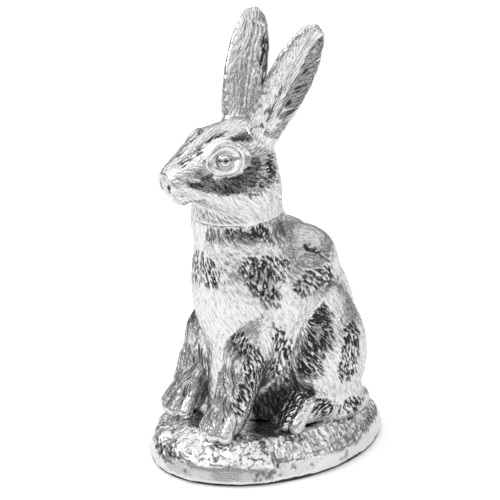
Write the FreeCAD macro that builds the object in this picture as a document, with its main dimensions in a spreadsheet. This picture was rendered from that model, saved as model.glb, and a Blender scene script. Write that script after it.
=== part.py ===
"""Sitting hare ornament: hollow castings on an oval ground plinth, screwed together from below.

The hare faces -Y and +Z is up. The origin is the centre of the felt's underside. All sizes are millimetres.
"""
import FreeCAD, Part
import os

import Sketcher

Vector = FreeCAD.Vector

# Every driving size: alias, millimetres (or degrees), meaning. The sheet holds them, and features are bound to it.
SIZES = [
    ("plinth_length", 141.0, "plinth, front to back"),
    ("plinth_width", 105.0, "plinth, side to side"),
    ("plinth_height", 20.5, "plinth underside to the seat of the figure"),
    ("rim_height", 10.0, "plinth's upright rim, below the mound"),
    ("seat_length", 122.0, "flat top of the mound, front to back"),
    ("seat_width", 92.0, "flat top of the mound, side to side"),
    ("plinth_wall", 10.0, "plinth side wall at the rim"),
    ("deck_thickness", 4.0, "plinth top wall"),
    ("ledge_width", 3.0, "rim outside the base plate's rebate"),
    ("plate_thickness", 1.5, "base plate"),
    ("plate_gap", 0.3, "base plate to rebate, all round"),
    ("felt_thickness", 1.5, "felt pad"),
    ("felt_inset", 1.0, "felt edge inside the plinth's edge"),
    ("plate_screw_x", 29.0, "base plate screw, from the centre, sideways"),
    ("plate_screw_y", 38.0, "base plate screw, from the centre, lengthwise"),
    ("plate_screw_diameter", 3.0, "base plate screw thread"),
    ("plate_screw_length", 9.0, "base plate screw, overall"),
    ("plate_boss_diameter", 9.0, "boss for a base plate screw"),
    ("casting_wall", 3.0, "wall of the hollow castings"),
    ("torso_height", 117.0, "seat to the neck joint"),
    ("torso_breadth", 65.0, "torso at its widest"),
    ("torso_depth", 89.5, "torso at its deepest"),
    ("neck_breadth", 42.0, "neck joint, side to side"),
    ("neck_depth", 48.5, "neck joint, front to back"),
    ("neck_back", -20.5, "neck joint's centre, lengthwise"),
    ("spigot_length", 9.0, "head spigot inside the neck"),
    ("spigot_wall", 2.5, "head spigot wall"),
    ("spigot_gap", 0.15, "head spigot to neck bore, all round"),
    ("neck_pin_diameter", 3.0, "pin through neck and spigot"),
    ("pin_cover", 0.8, "dressed metal over a neck pin's end"),
    ("head_length", 65.0, "nose to back of skull"),
    ("head_height", 49.0, "jaw to crown"),
    ("head_breadth", 43.0, "cheek to cheek"),
    ("ear_length", 62.0, "ear, root to tip"),
    ("ear_width", 27.0, "ear, edge to edge"),
    ("ear_depth", 10.5, "ear, through its thickest"),
    ("ear_lean", 22.5, "ear leans back, degrees"),
    ("ear_splay", 17.0, "ear leans outwards, degrees"),
    ("ear_turn", 8.0, "ear's rear edge turns outwards, degrees"),
    ("ear_root_side", 11.5, "ear root from the middle plane"),
    ("ear_root_back", 9.0, "ear root behind the neck's centre"),
    ("ear_root_rise", 45.5, "ear root above the neck joint"),
    ("ear_tenon_diameter", 6.0, "ear tenon"),
    ("ear_tenon_length", 9.0, "ear tenon below the ear's root"),
    ("eye_diameter", 9.5, "eyeball"),
    ("eye_side", 13.3, "eye centre from the middle plane"),
    ("eye_back", -16.7, "eye centre from the neck's centre, lengthwise"),
    ("eye_rise", 34.0, "eye centre above the neck joint"),
    ("eye_stem_diameter", 3.0, "eye stem"),
    ("eye_stem_length", 10.0, "eye stem, from the ball's centre"),
    ("foreleg_side", 20.0, "paw from the middle plane"),
    ("foreleg_reach", -41.0, "paw centre, lengthwise"),
    ("foreleg_height", 72.0, "seat to the top of the foreleg"),
    ("foreleg_width", 20.0, "paw, side to side"),
    ("foreleg_depth", 26.0, "paw, front to back"),
    ("haunch_height", 74.0, "thigh, top to bottom"),
    ("haunch_depth", 46.0, "thigh, front to back"),
    ("haunch_breadth", 35.0, "thigh, side to side"),
    ("haunch_side", 28.0, "thigh centre from the middle plane"),
    ("haunch_back", 20.0, "thigh centre, lengthwise"),
    ("haunch_lean", 10.0, "thigh leans back, degrees"),
    ("haunch_sink", 2.5, "thigh's lowest point below the seat, cut off flat"),
    ("hock_length", 42.0, "hock and heel, front to back"),
    ("hock_width", 19.0, "hock, side to side"),
    ("hock_height", 17.0, "hock, seat to top"),
    ("hock_side", 32.0, "hock from the middle plane"),
    ("hock_back", 25.0, "hock centre, lengthwise"),
    ("foot_length", 36.0, "hind foot, toes to where the thigh covers it"),
    ("foot_width", 19.0, "hind foot, side to side"),
    ("foot_height", 19.0, "hind foot, sole to top"),
    ("foot_side", 34.5, "hind foot from the middle plane"),
    ("foot_toe", -10.0, "hind foot's toe end, lengthwise"),
    ("tail_length", 26.0, "tail, top to bottom"),
    ("tail_width", 17.0, "tail, side to side"),
    ("tail_back", 55.0, "tail centre, lengthwise"),
    ("tail_rise", 17.0, "tail centre above the seat"),
    ("tenon_diameter", 7.0, "foreleg, haunch and tail tenons"),
    ("tenon_length", 15.0, "foreleg, haunch and tail tenons"),
    ("tenon_gap", 0.1, "tenon and stem to socket, radially"),
    ("torso_screw_diameter", 5.0, "screw into the torso"),
    ("torso_screw_front", -12.0, "front torso screw, lengthwise"),
    ("torso_screw_rear", 34.0, "rear torso screw, lengthwise"),
    ("torso_boss_diameter", 13.0, "boss inside the torso"),
    ("limb_screw_diameter", 4.0, "screw into a paw, thigh or foot"),
    ("foot_screw_back", -2.5, "hind foot screw, lengthwise"),
    ("haunch_screw_side", 34.0, "haunch screw from the middle plane"),
    ("screw_grip", 9.0, "screw thread inside the casting above"),
    ("screw_gap", 0.1, "screw to its threaded hole, radially"),
    ("hole_gap", 0.4, "screw to its clearance hole, radially"),
    ("washer_thickness", 1.0, "washer under each screw head"),
    ("joint_gap", 0.05, "castings that seat on each other"),
]

# Levels that follow from the sizes, as expressions of the sheet.
PLINTH_FOOT = "Sizes.felt_thickness"
SEAT = "(Sizes.felt_thickness + Sizes.plinth_height)"
DECK_UNDER = f"({SEAT} - Sizes.deck_thickness)"
PLATE_TOP = f"({PLINTH_FOOT} + Sizes.plate_thickness)"
NECK = f"({SEAT} + Sizes.torso_height)"
FLOOR_TOP = f"({SEAT} + Sizes.casting_wall)"

# Torso rings, bottom to top: share of torso_height, of torso_depth (its centre), of breadth and of depth.
TORSO_RINGS = [
    (0.00, 0.145, 0.84, 0.83),
    (0.16, 0.143, 0.96, 0.92),
    (0.34, 0.118, 1.00, 0.99),
    (0.52, 0.078, 1.00, 1.00),
    (0.70, -0.007, 0.93, 0.94),
    (0.81, -0.075, 0.84, 0.82),
    (0.90, -0.159, 0.74, 0.67),
]
# Head rings, back to front: share of head_length from the neck's centre, of head_height up from the neck joint,
# then of half head_height and half head_breadth.
HEAD_RINGS = [
    (0.315, 0.510, 0.49, 0.47),
    (0.223, 0.530, 0.78, 0.79),
    (0.069, 0.551, 0.98, 0.98),
    (-0.115, 0.531, 0.96, 1.00),
    (-0.315, 0.469, 0.82, 0.79),
    (-0.454, 0.439, 0.63, 0.60),
    (-0.592, 0.439, 0.41, 0.44),
    (-0.677, 0.459, 0.22, 0.28),
]
# Ear rings, root to tip: share of ear_length, of half ear_depth and half ear_width.
EAR_RINGS = [
    (-0.07, 0.90, 0.66),
    (0.22, 1.00, 0.90),
    (0.50, 0.92, 1.00),
    (0.76, 0.72, 0.80),
    (0.93, 0.46, 0.42),
    (1.00, 0.16, 0.12),
]
# Foreleg rings, sole to shoulder: share of foreleg_height, inwards and backwards shift as shares of
# foreleg_depth, then of half width and half depth.
FORELEG_RINGS = [
    (0.00, 0.00, 0.02, 0.94, 0.94),
    (0.08, 0.00, 0.02, 1.00, 0.96),
    (0.18, 0.00, 0.13, 0.92, 0.81),
    (0.31, 0.00, 0.44, 0.88, 0.73),
    (0.53, 0.02, 0.69, 1.00, 0.77),
    (0.78, 0.08, 0.92, 1.00, 0.85),
    (1.00, 0.18, 1.12, 0.60, 0.62),
]
# Hind foot rings, toes to heel: share of foot_length, of half height and half width.
FOOT_RINGS = [
    (0.00, 0.55, 0.62),
    (0.12, 0.88, 0.94),
    (0.38, 1.00, 1.00),
    (0.72, 0.92, 0.94),
    (1.00, 0.55, 0.60),
]

doc = FreeCAD.newDocument("SittingHare")


def make_sheet():
    sheet = doc.addObject("Spreadsheet::Sheet", "Sizes")
    for row, (alias, value, meaning) in enumerate(SIZES, start=1):
        sheet.set(f"A{row}", alias)
        sheet.set(f"B{row}", str(value))
        sheet.set(f"C{row}", meaning)
        sheet.setAlias(f"B{row}", alias)
    doc.recompute()


def add(kind, name, **bound):
    """A document object of that kind, with properties bound to expressions."""
    made = doc.addObject(kind, name)
    for prop, expression in bound.items():
        made.setExpression(prop, str(expression))
    return made


def put(made, x=0, y=0, z=0, turn="rotation(vector(0; 0; 1); 0)"):
    made.setExpression("Placement", f"placement(vector({x}; {y}; {z}); {turn})")
    return made


def about(axis, degrees):
    x, y, z = axis
    return f"rotation(vector({x}; {y}; {z}); {degrees})"


def ring(name, half_x, half_y, x=0, y=0, z=0, lay=None):
    """An ellipse whose longer axis is found by the expression. lay turns it out of the horizontal plane."""
    made = add(
        "Part::Ellipse",
        name,
        MajorRadius=f"max({half_x}; {half_y})",
        MinorRadius=f"min({half_x}; {half_y})",
    )
    spin = f"rotation(vector(0; 0; 1); {half_y} > {half_x} ? 90 : 0)"
    return put(made, x, y, z, f"{lay} * {spin}" if lay else spin)


def loft(name, rings):
    made = doc.addObject("Part::Loft", name)
    made.Sections = rings
    made.Solid = True
    made.Ruled = False
    return made


def tube_core(name, half_x, half_y, y, bottom, height):
    """A straight upright elliptical prism."""
    section = ring(f"{name}_section", half_x, half_y, 0, y, bottom)
    made = doc.addObject("Part::Extrusion", name)
    made.Base = section
    made.DirMode = "Custom"
    made.Dir = Vector(0, 0, 1)
    made.Solid = True
    made.setExpression("LengthFwd", height)
    return made


def cylinder(name, radius, height, x=0, y=0, z=0, turn=None):
    made = add("Part::Cylinder", name, Radius=radius, Height=height)
    return put(made, x, y, z, turn) if turn else put(made, x, y, z)


def fuse(name, pieces):
    made = doc.addObject("Part::MultiFuse", name)
    made.Shapes = pieces
    made.Refine = False
    return made


def cut(name, base, tools):
    made = doc.addObject("Part::Cut", name)
    made.Base = base
    made.Tool = tools[0] if len(tools) == 1 else fuse(f"{name}_tools", tools)
    made.Refine = False
    return made


def common(name, base, tool):
    made = doc.addObject("Part::Common", name)
    made.Base = base
    made.Tool = tool
    return made


def mirrored(name, source):
    """The same piece on the hare's right."""
    made = doc.addObject("Part::Mirroring", name)
    made.Source = source
    made.Base = Vector(0, 0, 0)
    made.Normal = Vector(1, 0, 0)
    return made


def group(name, pieces):
    """Identical loose pieces that share a node."""
    made = doc.addObject("Part::Compound", name)
    made.Links = pieces
    return made


# ---- plinth, base plate and felt: sketched bodies ------------------------------------------------


def origin_plane(body, role):
    return next(f for f in body.Origin.OriginFeatures if f.Role == role)


def sketch_on(body, name, height):
    sketch = body.newObject("Sketcher::SketchObject", name)
    sketch.AttachmentSupport = [(origin_plane(body, "XY_Plane"), "")]
    sketch.MapMode = "FlatFace"
    sketch.setExpression("AttachmentOffset.Base.z", height)
    return sketch


def sketch_oval(body, name, length, width, height):
    """A sketched ellipse about the origin, longer along Y."""
    sketch = sketch_on(body, name, height)
    oval = sketch.addGeometry(Part.Ellipse(Vector(0, 60, 0), Vector(40, 0, 0), Vector(0, 0, 0)))
    sketch.exposeInternalGeometry(oval)
    major, minor = oval + 1, oval + 2
    sketch.addConstraint(Sketcher.Constraint("Coincident", oval, 3, -1, 1))
    sketch.addConstraint(Sketcher.Constraint("Vertical", major))
    long_axis = sketch.addConstraint(Sketcher.Constraint("Distance", major, 120))
    short_axis = sketch.addConstraint(Sketcher.Constraint("Distance", minor, 80))
    sketch.setExpression(f"Constraints[{long_axis}]", length)
    sketch.setExpression(f"Constraints[{short_axis}]", width)
    return sketch


def sketch_rounds(body, name, places, diameter, height):
    """Sketched circles of one diameter, each at its own (x, y)."""
    sketch = sketch_on(body, name, height)
    for x, y in places:
        circle = sketch.addGeometry(Part.Circle(Vector(10, 10, 0), Vector(0, 0, 1), 2))
        for kind, expression in (("DistanceX", x), ("DistanceY", y)):
            place = sketch.addConstraint(Sketcher.Constraint(kind, -1, 1, circle, 3, 10))
            sketch.setExpression(f"Constraints[{place}]", expression)
        size = sketch.addConstraint(Sketcher.Constraint("Diameter", circle, 4))
        sketch.setExpression(f"Constraints[{size}]", diameter)
    return sketch


def feature(body, kind, name, sketch, length, reverse=False):
    made = body.newObject(f"PartDesign::{kind}", name)
    made.Profile = sketch
    made.Reversed = reverse
    made.setExpression("Length", length)
    sketch.Visibility = False
    return made


def four_ways(x, y):
    """(x, y) in each quarter."""
    return [(f"{sx}{x}", f"{sy}{y}") for sx in ("", "-") for sy in ("", "-")]


PLATE_SCREWS = four_ways("Sizes.plate_screw_x", "Sizes.plate_screw_y")
TORSO_SCREWS = [("0", "Sizes.torso_screw_front"), ("0", "Sizes.torso_screw_rear")]
LIMB_SCREWS = [
    (f"{side}Sizes.{across}", f"Sizes.{along}")
    for across, along in (
        ("foreleg_side", "foreleg_reach"),
        ("foot_side", "foot_screw_back"),
        ("haunch_screw_side", "haunch_back"),
    )
    for side in ("", "-")
]


def make_plinth():
    body = doc.addObject("PartDesign::Body", "plinth")
    outline = sketch_oval(body, "plinth_outline", "Sizes.plinth_length", "Sizes.plinth_width", PLINTH_FOOT)
    feature(body, "Pad", "plinth_rim", outline, "Sizes.rim_height")
    doc.recompute()
    rim_top = f"{PLINTH_FOOT} + Sizes.rim_height"
    mound_foot = sketch_oval(body, "mound_foot", "Sizes.plinth_length", "Sizes.plinth_width", rim_top)
    seat = sketch_oval(body, "seat_outline", "Sizes.seat_length", "Sizes.seat_width", SEAT)
    mound = body.newObject("PartDesign::AdditiveLoft", "plinth_mound")
    mound.Profile = mound_foot
    mound.Sections = [seat]
    doc.recompute()
    rebate = sketch_oval(
        body,
        "rebate_outline",
        "Sizes.plinth_length - 2 * Sizes.ledge_width",
        "Sizes.plinth_width - 2 * Sizes.ledge_width",
        PLINTH_FOOT,
    )
    feature(body, "Pocket", "plinth_rebate", rebate, "Sizes.plate_thickness", reverse=True)
    doc.recompute()
    hollow = sketch_oval(
        body,
        "hollow_outline",
        "Sizes.plinth_length - 2 * Sizes.plinth_wall",
        "Sizes.plinth_width - 2 * Sizes.plinth_wall",
        PLINTH_FOOT,
    )
    depth = "Sizes.plinth_height - Sizes.deck_thickness"
    feature(body, "Pocket", "plinth_hollow", hollow, depth, reverse=True)
    doc.recompute()
    bosses = sketch_rounds(body, "boss_outlines", PLATE_SCREWS, "Sizes.plate_boss_diameter", PLATE_TOP)
    feature(body, "Pad", "plate_bosses", bosses, f"{depth} - Sizes.plate_thickness")
    doc.recompute()
    pilot = "Sizes.plate_screw_diameter + 2 * Sizes.screw_gap"
    pilots = sketch_rounds(body, "pilot_outlines", PLATE_SCREWS, pilot, PLATE_TOP)
    feature(body, "Pocket", "plate_pilots", pilots, "Sizes.plate_screw_length", reverse=True)
    doc.recompute()
    for name, places, screw in (
        ("torso_holes", TORSO_SCREWS, "Sizes.torso_screw_diameter"),
        ("limb_holes", LIMB_SCREWS, "Sizes.limb_screw_diameter"),
    ):
        holes = sketch_rounds(body, f"{name}_outlines", places, f"{screw} + 2 * Sizes.hole_gap", DECK_UNDER)
        feature(body, "Pocket", name, holes, "Sizes.deck_thickness + 1", reverse=True)
        doc.recompute()
    body.Label = "plinth_blank"
    return cut("relieved_plinth", body, screw_wells(depth))


def screw_wells(depth):
    """Room for each screw head and washer, in case a shorter plinth brings its side wall over them."""
    height = f"{depth} - Sizes.plate_thickness"
    wells = [("Sizes.torso_screw_diameter", place) for place in TORSO_SCREWS]
    wells += [("Sizes.limb_screw_diameter", place) for place in LIMB_SCREWS]
    return [
        cylinder(f"screw_well_{i}", f"{diameter} + Sizes.hole_gap", height, x, y, PLATE_TOP)
        for i, (diameter, (x, y)) in enumerate(wells)
    ]


def make_base_plate():
    body = doc.addObject("PartDesign::Body", "base_plate")
    less = "2 * (Sizes.ledge_width + Sizes.plate_gap)"
    outline = sketch_oval(
        body, "plate_outline", f"Sizes.plinth_length - {less}", f"Sizes.plinth_width - {less}", PLINTH_FOOT
    )
    feature(body, "Pad", "plate_sheet", outline, "Sizes.plate_thickness")
    doc.recompute()
    bore = "Sizes.plate_screw_diameter + 2 * Sizes.hole_gap"
    holes = sketch_rounds(body, "plate_hole_outlines", PLATE_SCREWS, bore, PLINTH_FOOT)
    feature(body, "Pocket", "plate_holes", holes, "Sizes.plate_thickness", reverse=True)
    doc.recompute()
    sinks = [
        add(
            "Part::Cone",
            f"plate_sink_{i}",
            Radius1="Sizes.plate_screw_diameter + Sizes.hole_gap",
            Radius2="Sizes.plate_screw_diameter / 2 + Sizes.hole_gap",
            Height="Sizes.plate_thickness",
        )
        for i in range(len(PLATE_SCREWS))
    ]
    for sink, (x, y) in zip(sinks, PLATE_SCREWS):
        put(sink, x, y, PLINTH_FOOT)
    body.Label = "plate_blank"
    return cut("countersunk_plate", body, sinks)


def make_felt():
    body = doc.addObject("PartDesign::Body", "felt_pad")
    less = "2 * Sizes.felt_inset"
    outline = sketch_oval(body, "felt_outline", f"Sizes.plinth_length - {less}", f"Sizes.plinth_width - {less}", "0")
    feature(body, "Pad", "felt_sheet", outline, "Sizes.felt_thickness")
    return body


# ---- torso ---------------------------------------------------------------------------------------


def torso_rings(name, inset):
    rings = [
        ring(
            f"{name}_{i}",
            f"Sizes.torso_breadth / 2 * {breadth} - {inset}",
            f"Sizes.torso_depth / 2 * {depth} - {inset}",
            0,
            f"Sizes.torso_depth * {lean}",
            f"{SEAT} + Sizes.torso_height * {rise}",
        )
        for i, (rise, lean, breadth, depth) in enumerate(TORSO_RINGS)
    ]
    neck = ring(
        f"{name}_neck",
        f"Sizes.neck_breadth / 2 - {inset}",
        f"Sizes.neck_depth / 2 - {inset}",
        0,
        "Sizes.neck_back",
        NECK,
    )
    return rings + [neck]


def torso_skin(name, gap):
    """The torso's outer form, grown by a gap, which limbs and tail are fitted to."""
    return loft(name, torso_rings(f"{name}_ring", f"(-{gap})"))


def inward_tenon(name, gap, x, y, z):
    """A tenon along X that starts inside a limb at x and points to the middle plane."""
    length = f"Sizes.tenon_length + 2 * {gap}"
    return cylinder(
        name, f"Sizes.tenon_diameter / 2 + {gap}", length, f"{x} + {gap}", y, z, about((0, 1, 0), -90)
    )


FORELEG_TENON = (
    "Sizes.foreleg_side + Sizes.foreleg_width * 0.3",
    "Sizes.foreleg_reach + Sizes.foreleg_depth * 0.62",
    f"({SEAT} + Sizes.foreleg_height * 0.62)",
)
HAUNCH_TENON = (
    "Sizes.torso_breadth / 2 + Sizes.tenon_length * 0.4",
    "Sizes.haunch_back",
    f"({SEAT} + Sizes.haunch_height * 0.5)",
)
TAIL_TENON_START = "(Sizes.tail_back + Sizes.tenon_length * 0.15)"


def tail_tenon(name, gap):
    start = f"{TAIL_TENON_START} + {gap}"
    length = f"Sizes.tenon_length + 2 * {gap}"
    radius = f"Sizes.tenon_diameter / 2 + {gap}"
    return cylinder(name, radius, length, 0, start, f"{SEAT} + Sizes.tail_rise", about((1, 0, 0), 90))


def neck_pin_cores(name, gap):
    """Three radial pins below the neck joint: left, right and front."""
    radius = f"Sizes.neck_pin_diameter / 2 + {gap}"
    length = "2 * Sizes.casting_wall + Sizes.spigot_wall"
    level = f"{NECK} - Sizes.spigot_length / 2"
    inside = "Sizes.casting_wall - Sizes.spigot_gap - Sizes.spigot_wall"
    side = f"Sizes.neck_breadth / 2 - {inside}"
    front = f"Sizes.neck_back - Sizes.neck_depth / 2 + {inside}"
    return [
        cylinder(f"{name}_left", radius, length, side, "Sizes.neck_back", level, about((0, 1, 0), 90)),
        cylinder(f"{name}_right", radius, length, f"-({side})", "Sizes.neck_back", level, about((0, 1, 0), -90)),
        cylinder(f"{name}_front", radius, length, 0, front, level, about((1, 0, 0), 90)),
    ]


def make_torso():
    wall = "Sizes.casting_wall"
    skin = torso_skin("torso_form", "0")
    core = loft("torso_core", torso_rings("torso_core_ring", wall))
    below_floor = add("Part::Box", "torso_floor_zone", Length="300", Width="300", Height=f"{FLOOR_TOP} + 10")
    put(below_floor, -150, -150, -10)
    hollow = cut("torso_hollow", core, [below_floor])
    bore = tube_core(
        "neck_bore",
        f"Sizes.neck_breadth / 2 - {wall}",
        f"Sizes.neck_depth / 2 - {wall}",
        "Sizes.neck_back",
        f"{NECK} - Sizes.spigot_length - 2",
        "Sizes.spigot_length + 4",
    )
    shell = cut("torso_shell", skin, [hollow, bore])
    bosses = [
        cylinder(
            f"torso_boss_{i}", "Sizes.torso_boss_diameter / 2", "Sizes.screw_grip + 3", x, y, f"{SEAT} + 1"
        )
        for i, (x, y) in enumerate(TORSO_SCREWS)
    ]
    threads = [
        cylinder(
            f"torso_thread_{i}",
            "Sizes.torso_screw_diameter / 2 + Sizes.screw_gap",
            "Sizes.screw_grip + 1",
            x,
            y,
            f"{SEAT} - 0.5",
        )
        for i, (x, y) in enumerate(TORSO_SCREWS)
    ]
    sockets = [
        inward_tenon("foreleg_socket", "Sizes.tenon_gap", *FORELEG_TENON),
        inward_tenon("haunch_socket", "Sizes.tenon_gap", *HAUNCH_TENON),
    ]
    sockets += [mirrored(f"{socket.Name}_right", socket) for socket in sockets]
    sockets.append(tail_tenon("tail_socket", "Sizes.tenon_gap"))
    sockets += neck_pin_cores("torso_pin_hole", "Sizes.tenon_gap")
    return cut("torso", fuse("torso_casting", [shell] + bosses), threads + sockets)


# ---- head, ears and eyes -------------------------------------------------------------------------

UPRIGHT = about((1, 0, 0), 90)


def head_rings(name, inset):
    return [
        ring(
            f"{name}_{i}",
            f"Sizes.head_breadth / 2 * {breadth} - {inset}",
            f"Sizes.head_height / 2 * {height} - {inset}",
            0,
            f"Sizes.neck_back + Sizes.head_length * {along}",
            f"{NECK} + Sizes.head_height * {rise}",
            lay=UPRIGHT,
        )
        for i, (along, rise, height, breadth) in enumerate(HEAD_RINGS)
    ]


def head_skin(name):
    """The head's outer form with its short neck collar."""
    collar = [
        ring(f"{name}_collar_0", "Sizes.neck_breadth / 2", "Sizes.neck_depth / 2", 0, "Sizes.neck_back", NECK),
        ring(
            f"{name}_collar_1",
            "Sizes.neck_breadth / 2 * 0.9",
            "Sizes.neck_depth / 2 * 0.88",
            0,
            "Sizes.neck_back",
            f"{NECK} + Sizes.head_height * 0.24",
        ),
    ]
    return fuse(name, [loft(f"{name}_skull", head_rings(f"{name}_ring", "0")), loft(f"{name}_collar", collar)])


EAR_TURN = " * ".join(
    [
        about((0, 1, 0), "Sizes.ear_splay"),
        about((1, 0, 0), "-Sizes.ear_lean"),
        about((0, 0, 1), "-Sizes.ear_turn"),
    ]
)
EAR_PLACE = (
    "Sizes.ear_root_side",
    "Sizes.neck_back + Sizes.ear_root_back",
    f"{NECK} + Sizes.ear_root_rise",
)


def ear_tenon(name, gap):
    """The ear's round tenon, which runs down the ear's own axis into the skull."""
    radius = f"Sizes.ear_tenon_diameter / 2 + {gap}"
    length = f"Sizes.ear_tenon_length + 4 + {gap}"
    pin = cylinder(f"{name}_round", radius, length, 0, 0, f"-Sizes.ear_tenon_length - {gap}")
    holder = group(name, [pin])
    return put(holder, *EAR_PLACE, EAR_TURN)


def make_left_ear():
    rings = [
        ring(
            f"ear_ring_{i}",
            f"Sizes.ear_depth / 2 * {depth}",
            f"Sizes.ear_width / 2 * {width}",
            0,
            0,
            f"Sizes.ear_length * {along}",
        )
        for i, (along, depth, width) in enumerate(EAR_RINGS)
    ]
    scoop = add(
        "Part::Ellipsoid",
        "ear_scoop",
        Radius1="Sizes.ear_length * 0.4",
        Radius2="Sizes.ear_depth * 0.56",
        Radius3="Sizes.ear_width * 0.35",
    )
    put(scoop, "Sizes.ear_depth * 0.52", 0, "Sizes.ear_length * 0.5")
    leaf = cut("ear_leaf", loft("ear_form", rings), [scoop])
    placed = put(group("ear_placed", [leaf]), *EAR_PLACE, EAR_TURN)
    trimmed = cut("ear_trimmed", placed, [head_skin("ear_fit_skull")])
    return fuse("left_ear", [trimmed, ear_tenon("ear_tenon", "0")])


def eye_form(name, gap):
    ball = add("Part::Sphere", f"{name}_ball", Radius=f"Sizes.eye_diameter / 2 + {gap}")
    place = ("Sizes.eye_side", "Sizes.neck_back + Sizes.eye_back", f"{NECK} + Sizes.eye_rise")
    put(ball, *place)
    length = f"Sizes.eye_stem_length + {gap}"
    stem = cylinder(
        f"{name}_stem", f"Sizes.eye_stem_diameter / 2 + {gap}", length, *place, about((0, 1, 0), -90)
    )
    return fuse(name, [ball, stem])


def make_head():
    wall = "Sizes.casting_wall"
    skin = head_skin("head_form")
    spigot_x = f"Sizes.neck_breadth / 2 - {wall} - Sizes.spigot_gap"
    spigot_y = f"Sizes.neck_depth / 2 - {wall} - Sizes.spigot_gap"
    start = f"{NECK} - Sizes.spigot_length"
    rise = "Sizes.spigot_length + Sizes.head_height * 0.2"
    spigot = tube_core("head_spigot", spigot_x, spigot_y, "Sizes.neck_back", start, rise)
    passage = tube_core(
        "head_passage",
        f"{spigot_x} - Sizes.spigot_wall",
        f"{spigot_y} - Sizes.spigot_wall",
        "Sizes.neck_back",
        f"{start} - 1",
        f"{rise} + 4",
    )
    hollow = loft("head_hollow", head_rings("head_hollow_ring", wall)[1:-1])
    left_cuts = [ear_tenon("ear_socket", "Sizes.tenon_gap"), eye_form("eye_socket", "Sizes.tenon_gap")]
    cuts = left_cuts + [mirrored(f"{tool.Name}_right", tool) for tool in left_cuts]
    cuts += neck_pin_cores("head_pin_hole", "Sizes.tenon_gap")
    return cut("head", fuse("head_casting", [skin, spigot]), [hollow, passage] + cuts)


# ---- limbs and tail ------------------------------------------------------------------------------


def limb_thread(name, x, y):
    radius = "Sizes.limb_screw_diameter / 2 + Sizes.screw_gap"
    return cylinder(name, radius, "Sizes.screw_grip + 1", x, y, f"{SEAT} - 0.5")


def below_seat(name):
    zone = add("Part::Box", name, Length="200", Width="200", Height="100")
    return put(zone, -100, -100, f"{SEAT} - 100")


def haunch_form(name, gap):
    """Thigh and hock together, grown by a gap for what is fitted to them."""
    thigh = add(
        "Part::Ellipsoid",
        f"{name}_thigh",
        Radius1=f"Sizes.haunch_height / 2 + {gap}",
        Radius2=f"Sizes.haunch_breadth / 2 + {gap}",
        Radius3=f"Sizes.haunch_depth / 2 + {gap}",
    )
    lean = about((1, 0, 0), "-Sizes.haunch_lean")
    middle = f"{SEAT} + Sizes.haunch_height / 2 - Sizes.haunch_sink"
    put(thigh, "Sizes.haunch_side", "Sizes.haunch_back", middle, lean)
    hock = add(
        "Part::Ellipsoid",
        f"{name}_hock",
        Radius1=f"Sizes.hock_height * 0.65 + {gap}",
        Radius2=f"Sizes.hock_width / 2 + {gap}",
        Radius3=f"Sizes.hock_length / 2 + {gap}",
    )
    put(hock, "Sizes.hock_side", "Sizes.hock_back", f"{SEAT} + Sizes.hock_height * 0.35")
    return fuse(name, [thigh, hock])


def make_left_foreleg():
    rings = [
        ring(
            f"foreleg_ring_{i}",
            f"Sizes.foreleg_width / 2 * {width}",
            f"Sizes.foreleg_depth / 2 * {depth}",
            f"Sizes.foreleg_side - Sizes.foreleg_depth * {inwards}",
            f"Sizes.foreleg_reach + Sizes.foreleg_depth * {backwards}",
            f"{SEAT} + Sizes.foreleg_height * {rise}",
        )
        for i, (rise, inwards, backwards, width, depth) in enumerate(FORELEG_RINGS)
    ]
    trimmed = cut("foreleg_trimmed", loft("foreleg_form", rings), [torso_skin("foreleg_fit", "Sizes.joint_gap")])
    joined = fuse("foreleg_joined", [trimmed, inward_tenon("foreleg_tenon", "0", *FORELEG_TENON)])
    return cut("left_foreleg", joined, [limb_thread("foreleg_thread", *LIMB_SCREWS[0])])


def make_left_haunch():
    fitted = [torso_skin("haunch_fit", "Sizes.joint_gap"), below_seat("haunch_ground")]
    trimmed = cut("haunch_trimmed", haunch_form("haunch_body", "0"), fitted)
    joined = fuse("haunch_joined", [trimmed, inward_tenon("haunch_tenon", "0", *HAUNCH_TENON)])
    return cut("left_haunch", joined, [limb_thread("haunch_thread", *LIMB_SCREWS[4])])


def make_left_hind_foot():
    rings = [
        ring(
            f"foot_ring_{i}",
            f"Sizes.foot_width / 2 * {width}",
            f"Sizes.foot_height / 2 * {height}",
            "Sizes.foot_side",
            f"Sizes.foot_toe + Sizes.foot_length * {along}",
            f"{SEAT} + Sizes.foot_height / 2 * {height} - Sizes.foot_height * 0.06",
            lay=UPRIGHT,
        )
        for i, (along, height, width) in enumerate(FOOT_RINGS)
    ]
    fitted = [
        below_seat("foot_ground"),
        haunch_form("foot_fit_haunch", "Sizes.joint_gap"),
        torso_skin("foot_fit_torso", "Sizes.joint_gap"),
    ]
    trimmed = cut("foot_trimmed", loft("foot_form", rings), fitted)
    return cut("left_hind_foot", trimmed, [limb_thread("foot_thread", *LIMB_SCREWS[2])])


def make_tail():
    form = add(
        "Part::Ellipsoid",
        "tail_form",
        Radius1="Sizes.tail_length / 2",
        Radius2="Sizes.tail_width / 2",
        Radius3="Sizes.tail_width / 2 * 1.1",
    )
    put(form, 0, "Sizes.tail_back", f"{SEAT} + Sizes.tail_rise", about((1, 0, 0), 12))
    trimmed = cut("tail_trimmed", form, [torso_skin("tail_fit", "Sizes.joint_gap")])
    return fuse("tail", [trimmed, tail_tenon("tail_tenon", "0")])


# ---- fasteners -----------------------------------------------------------------------------------


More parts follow.
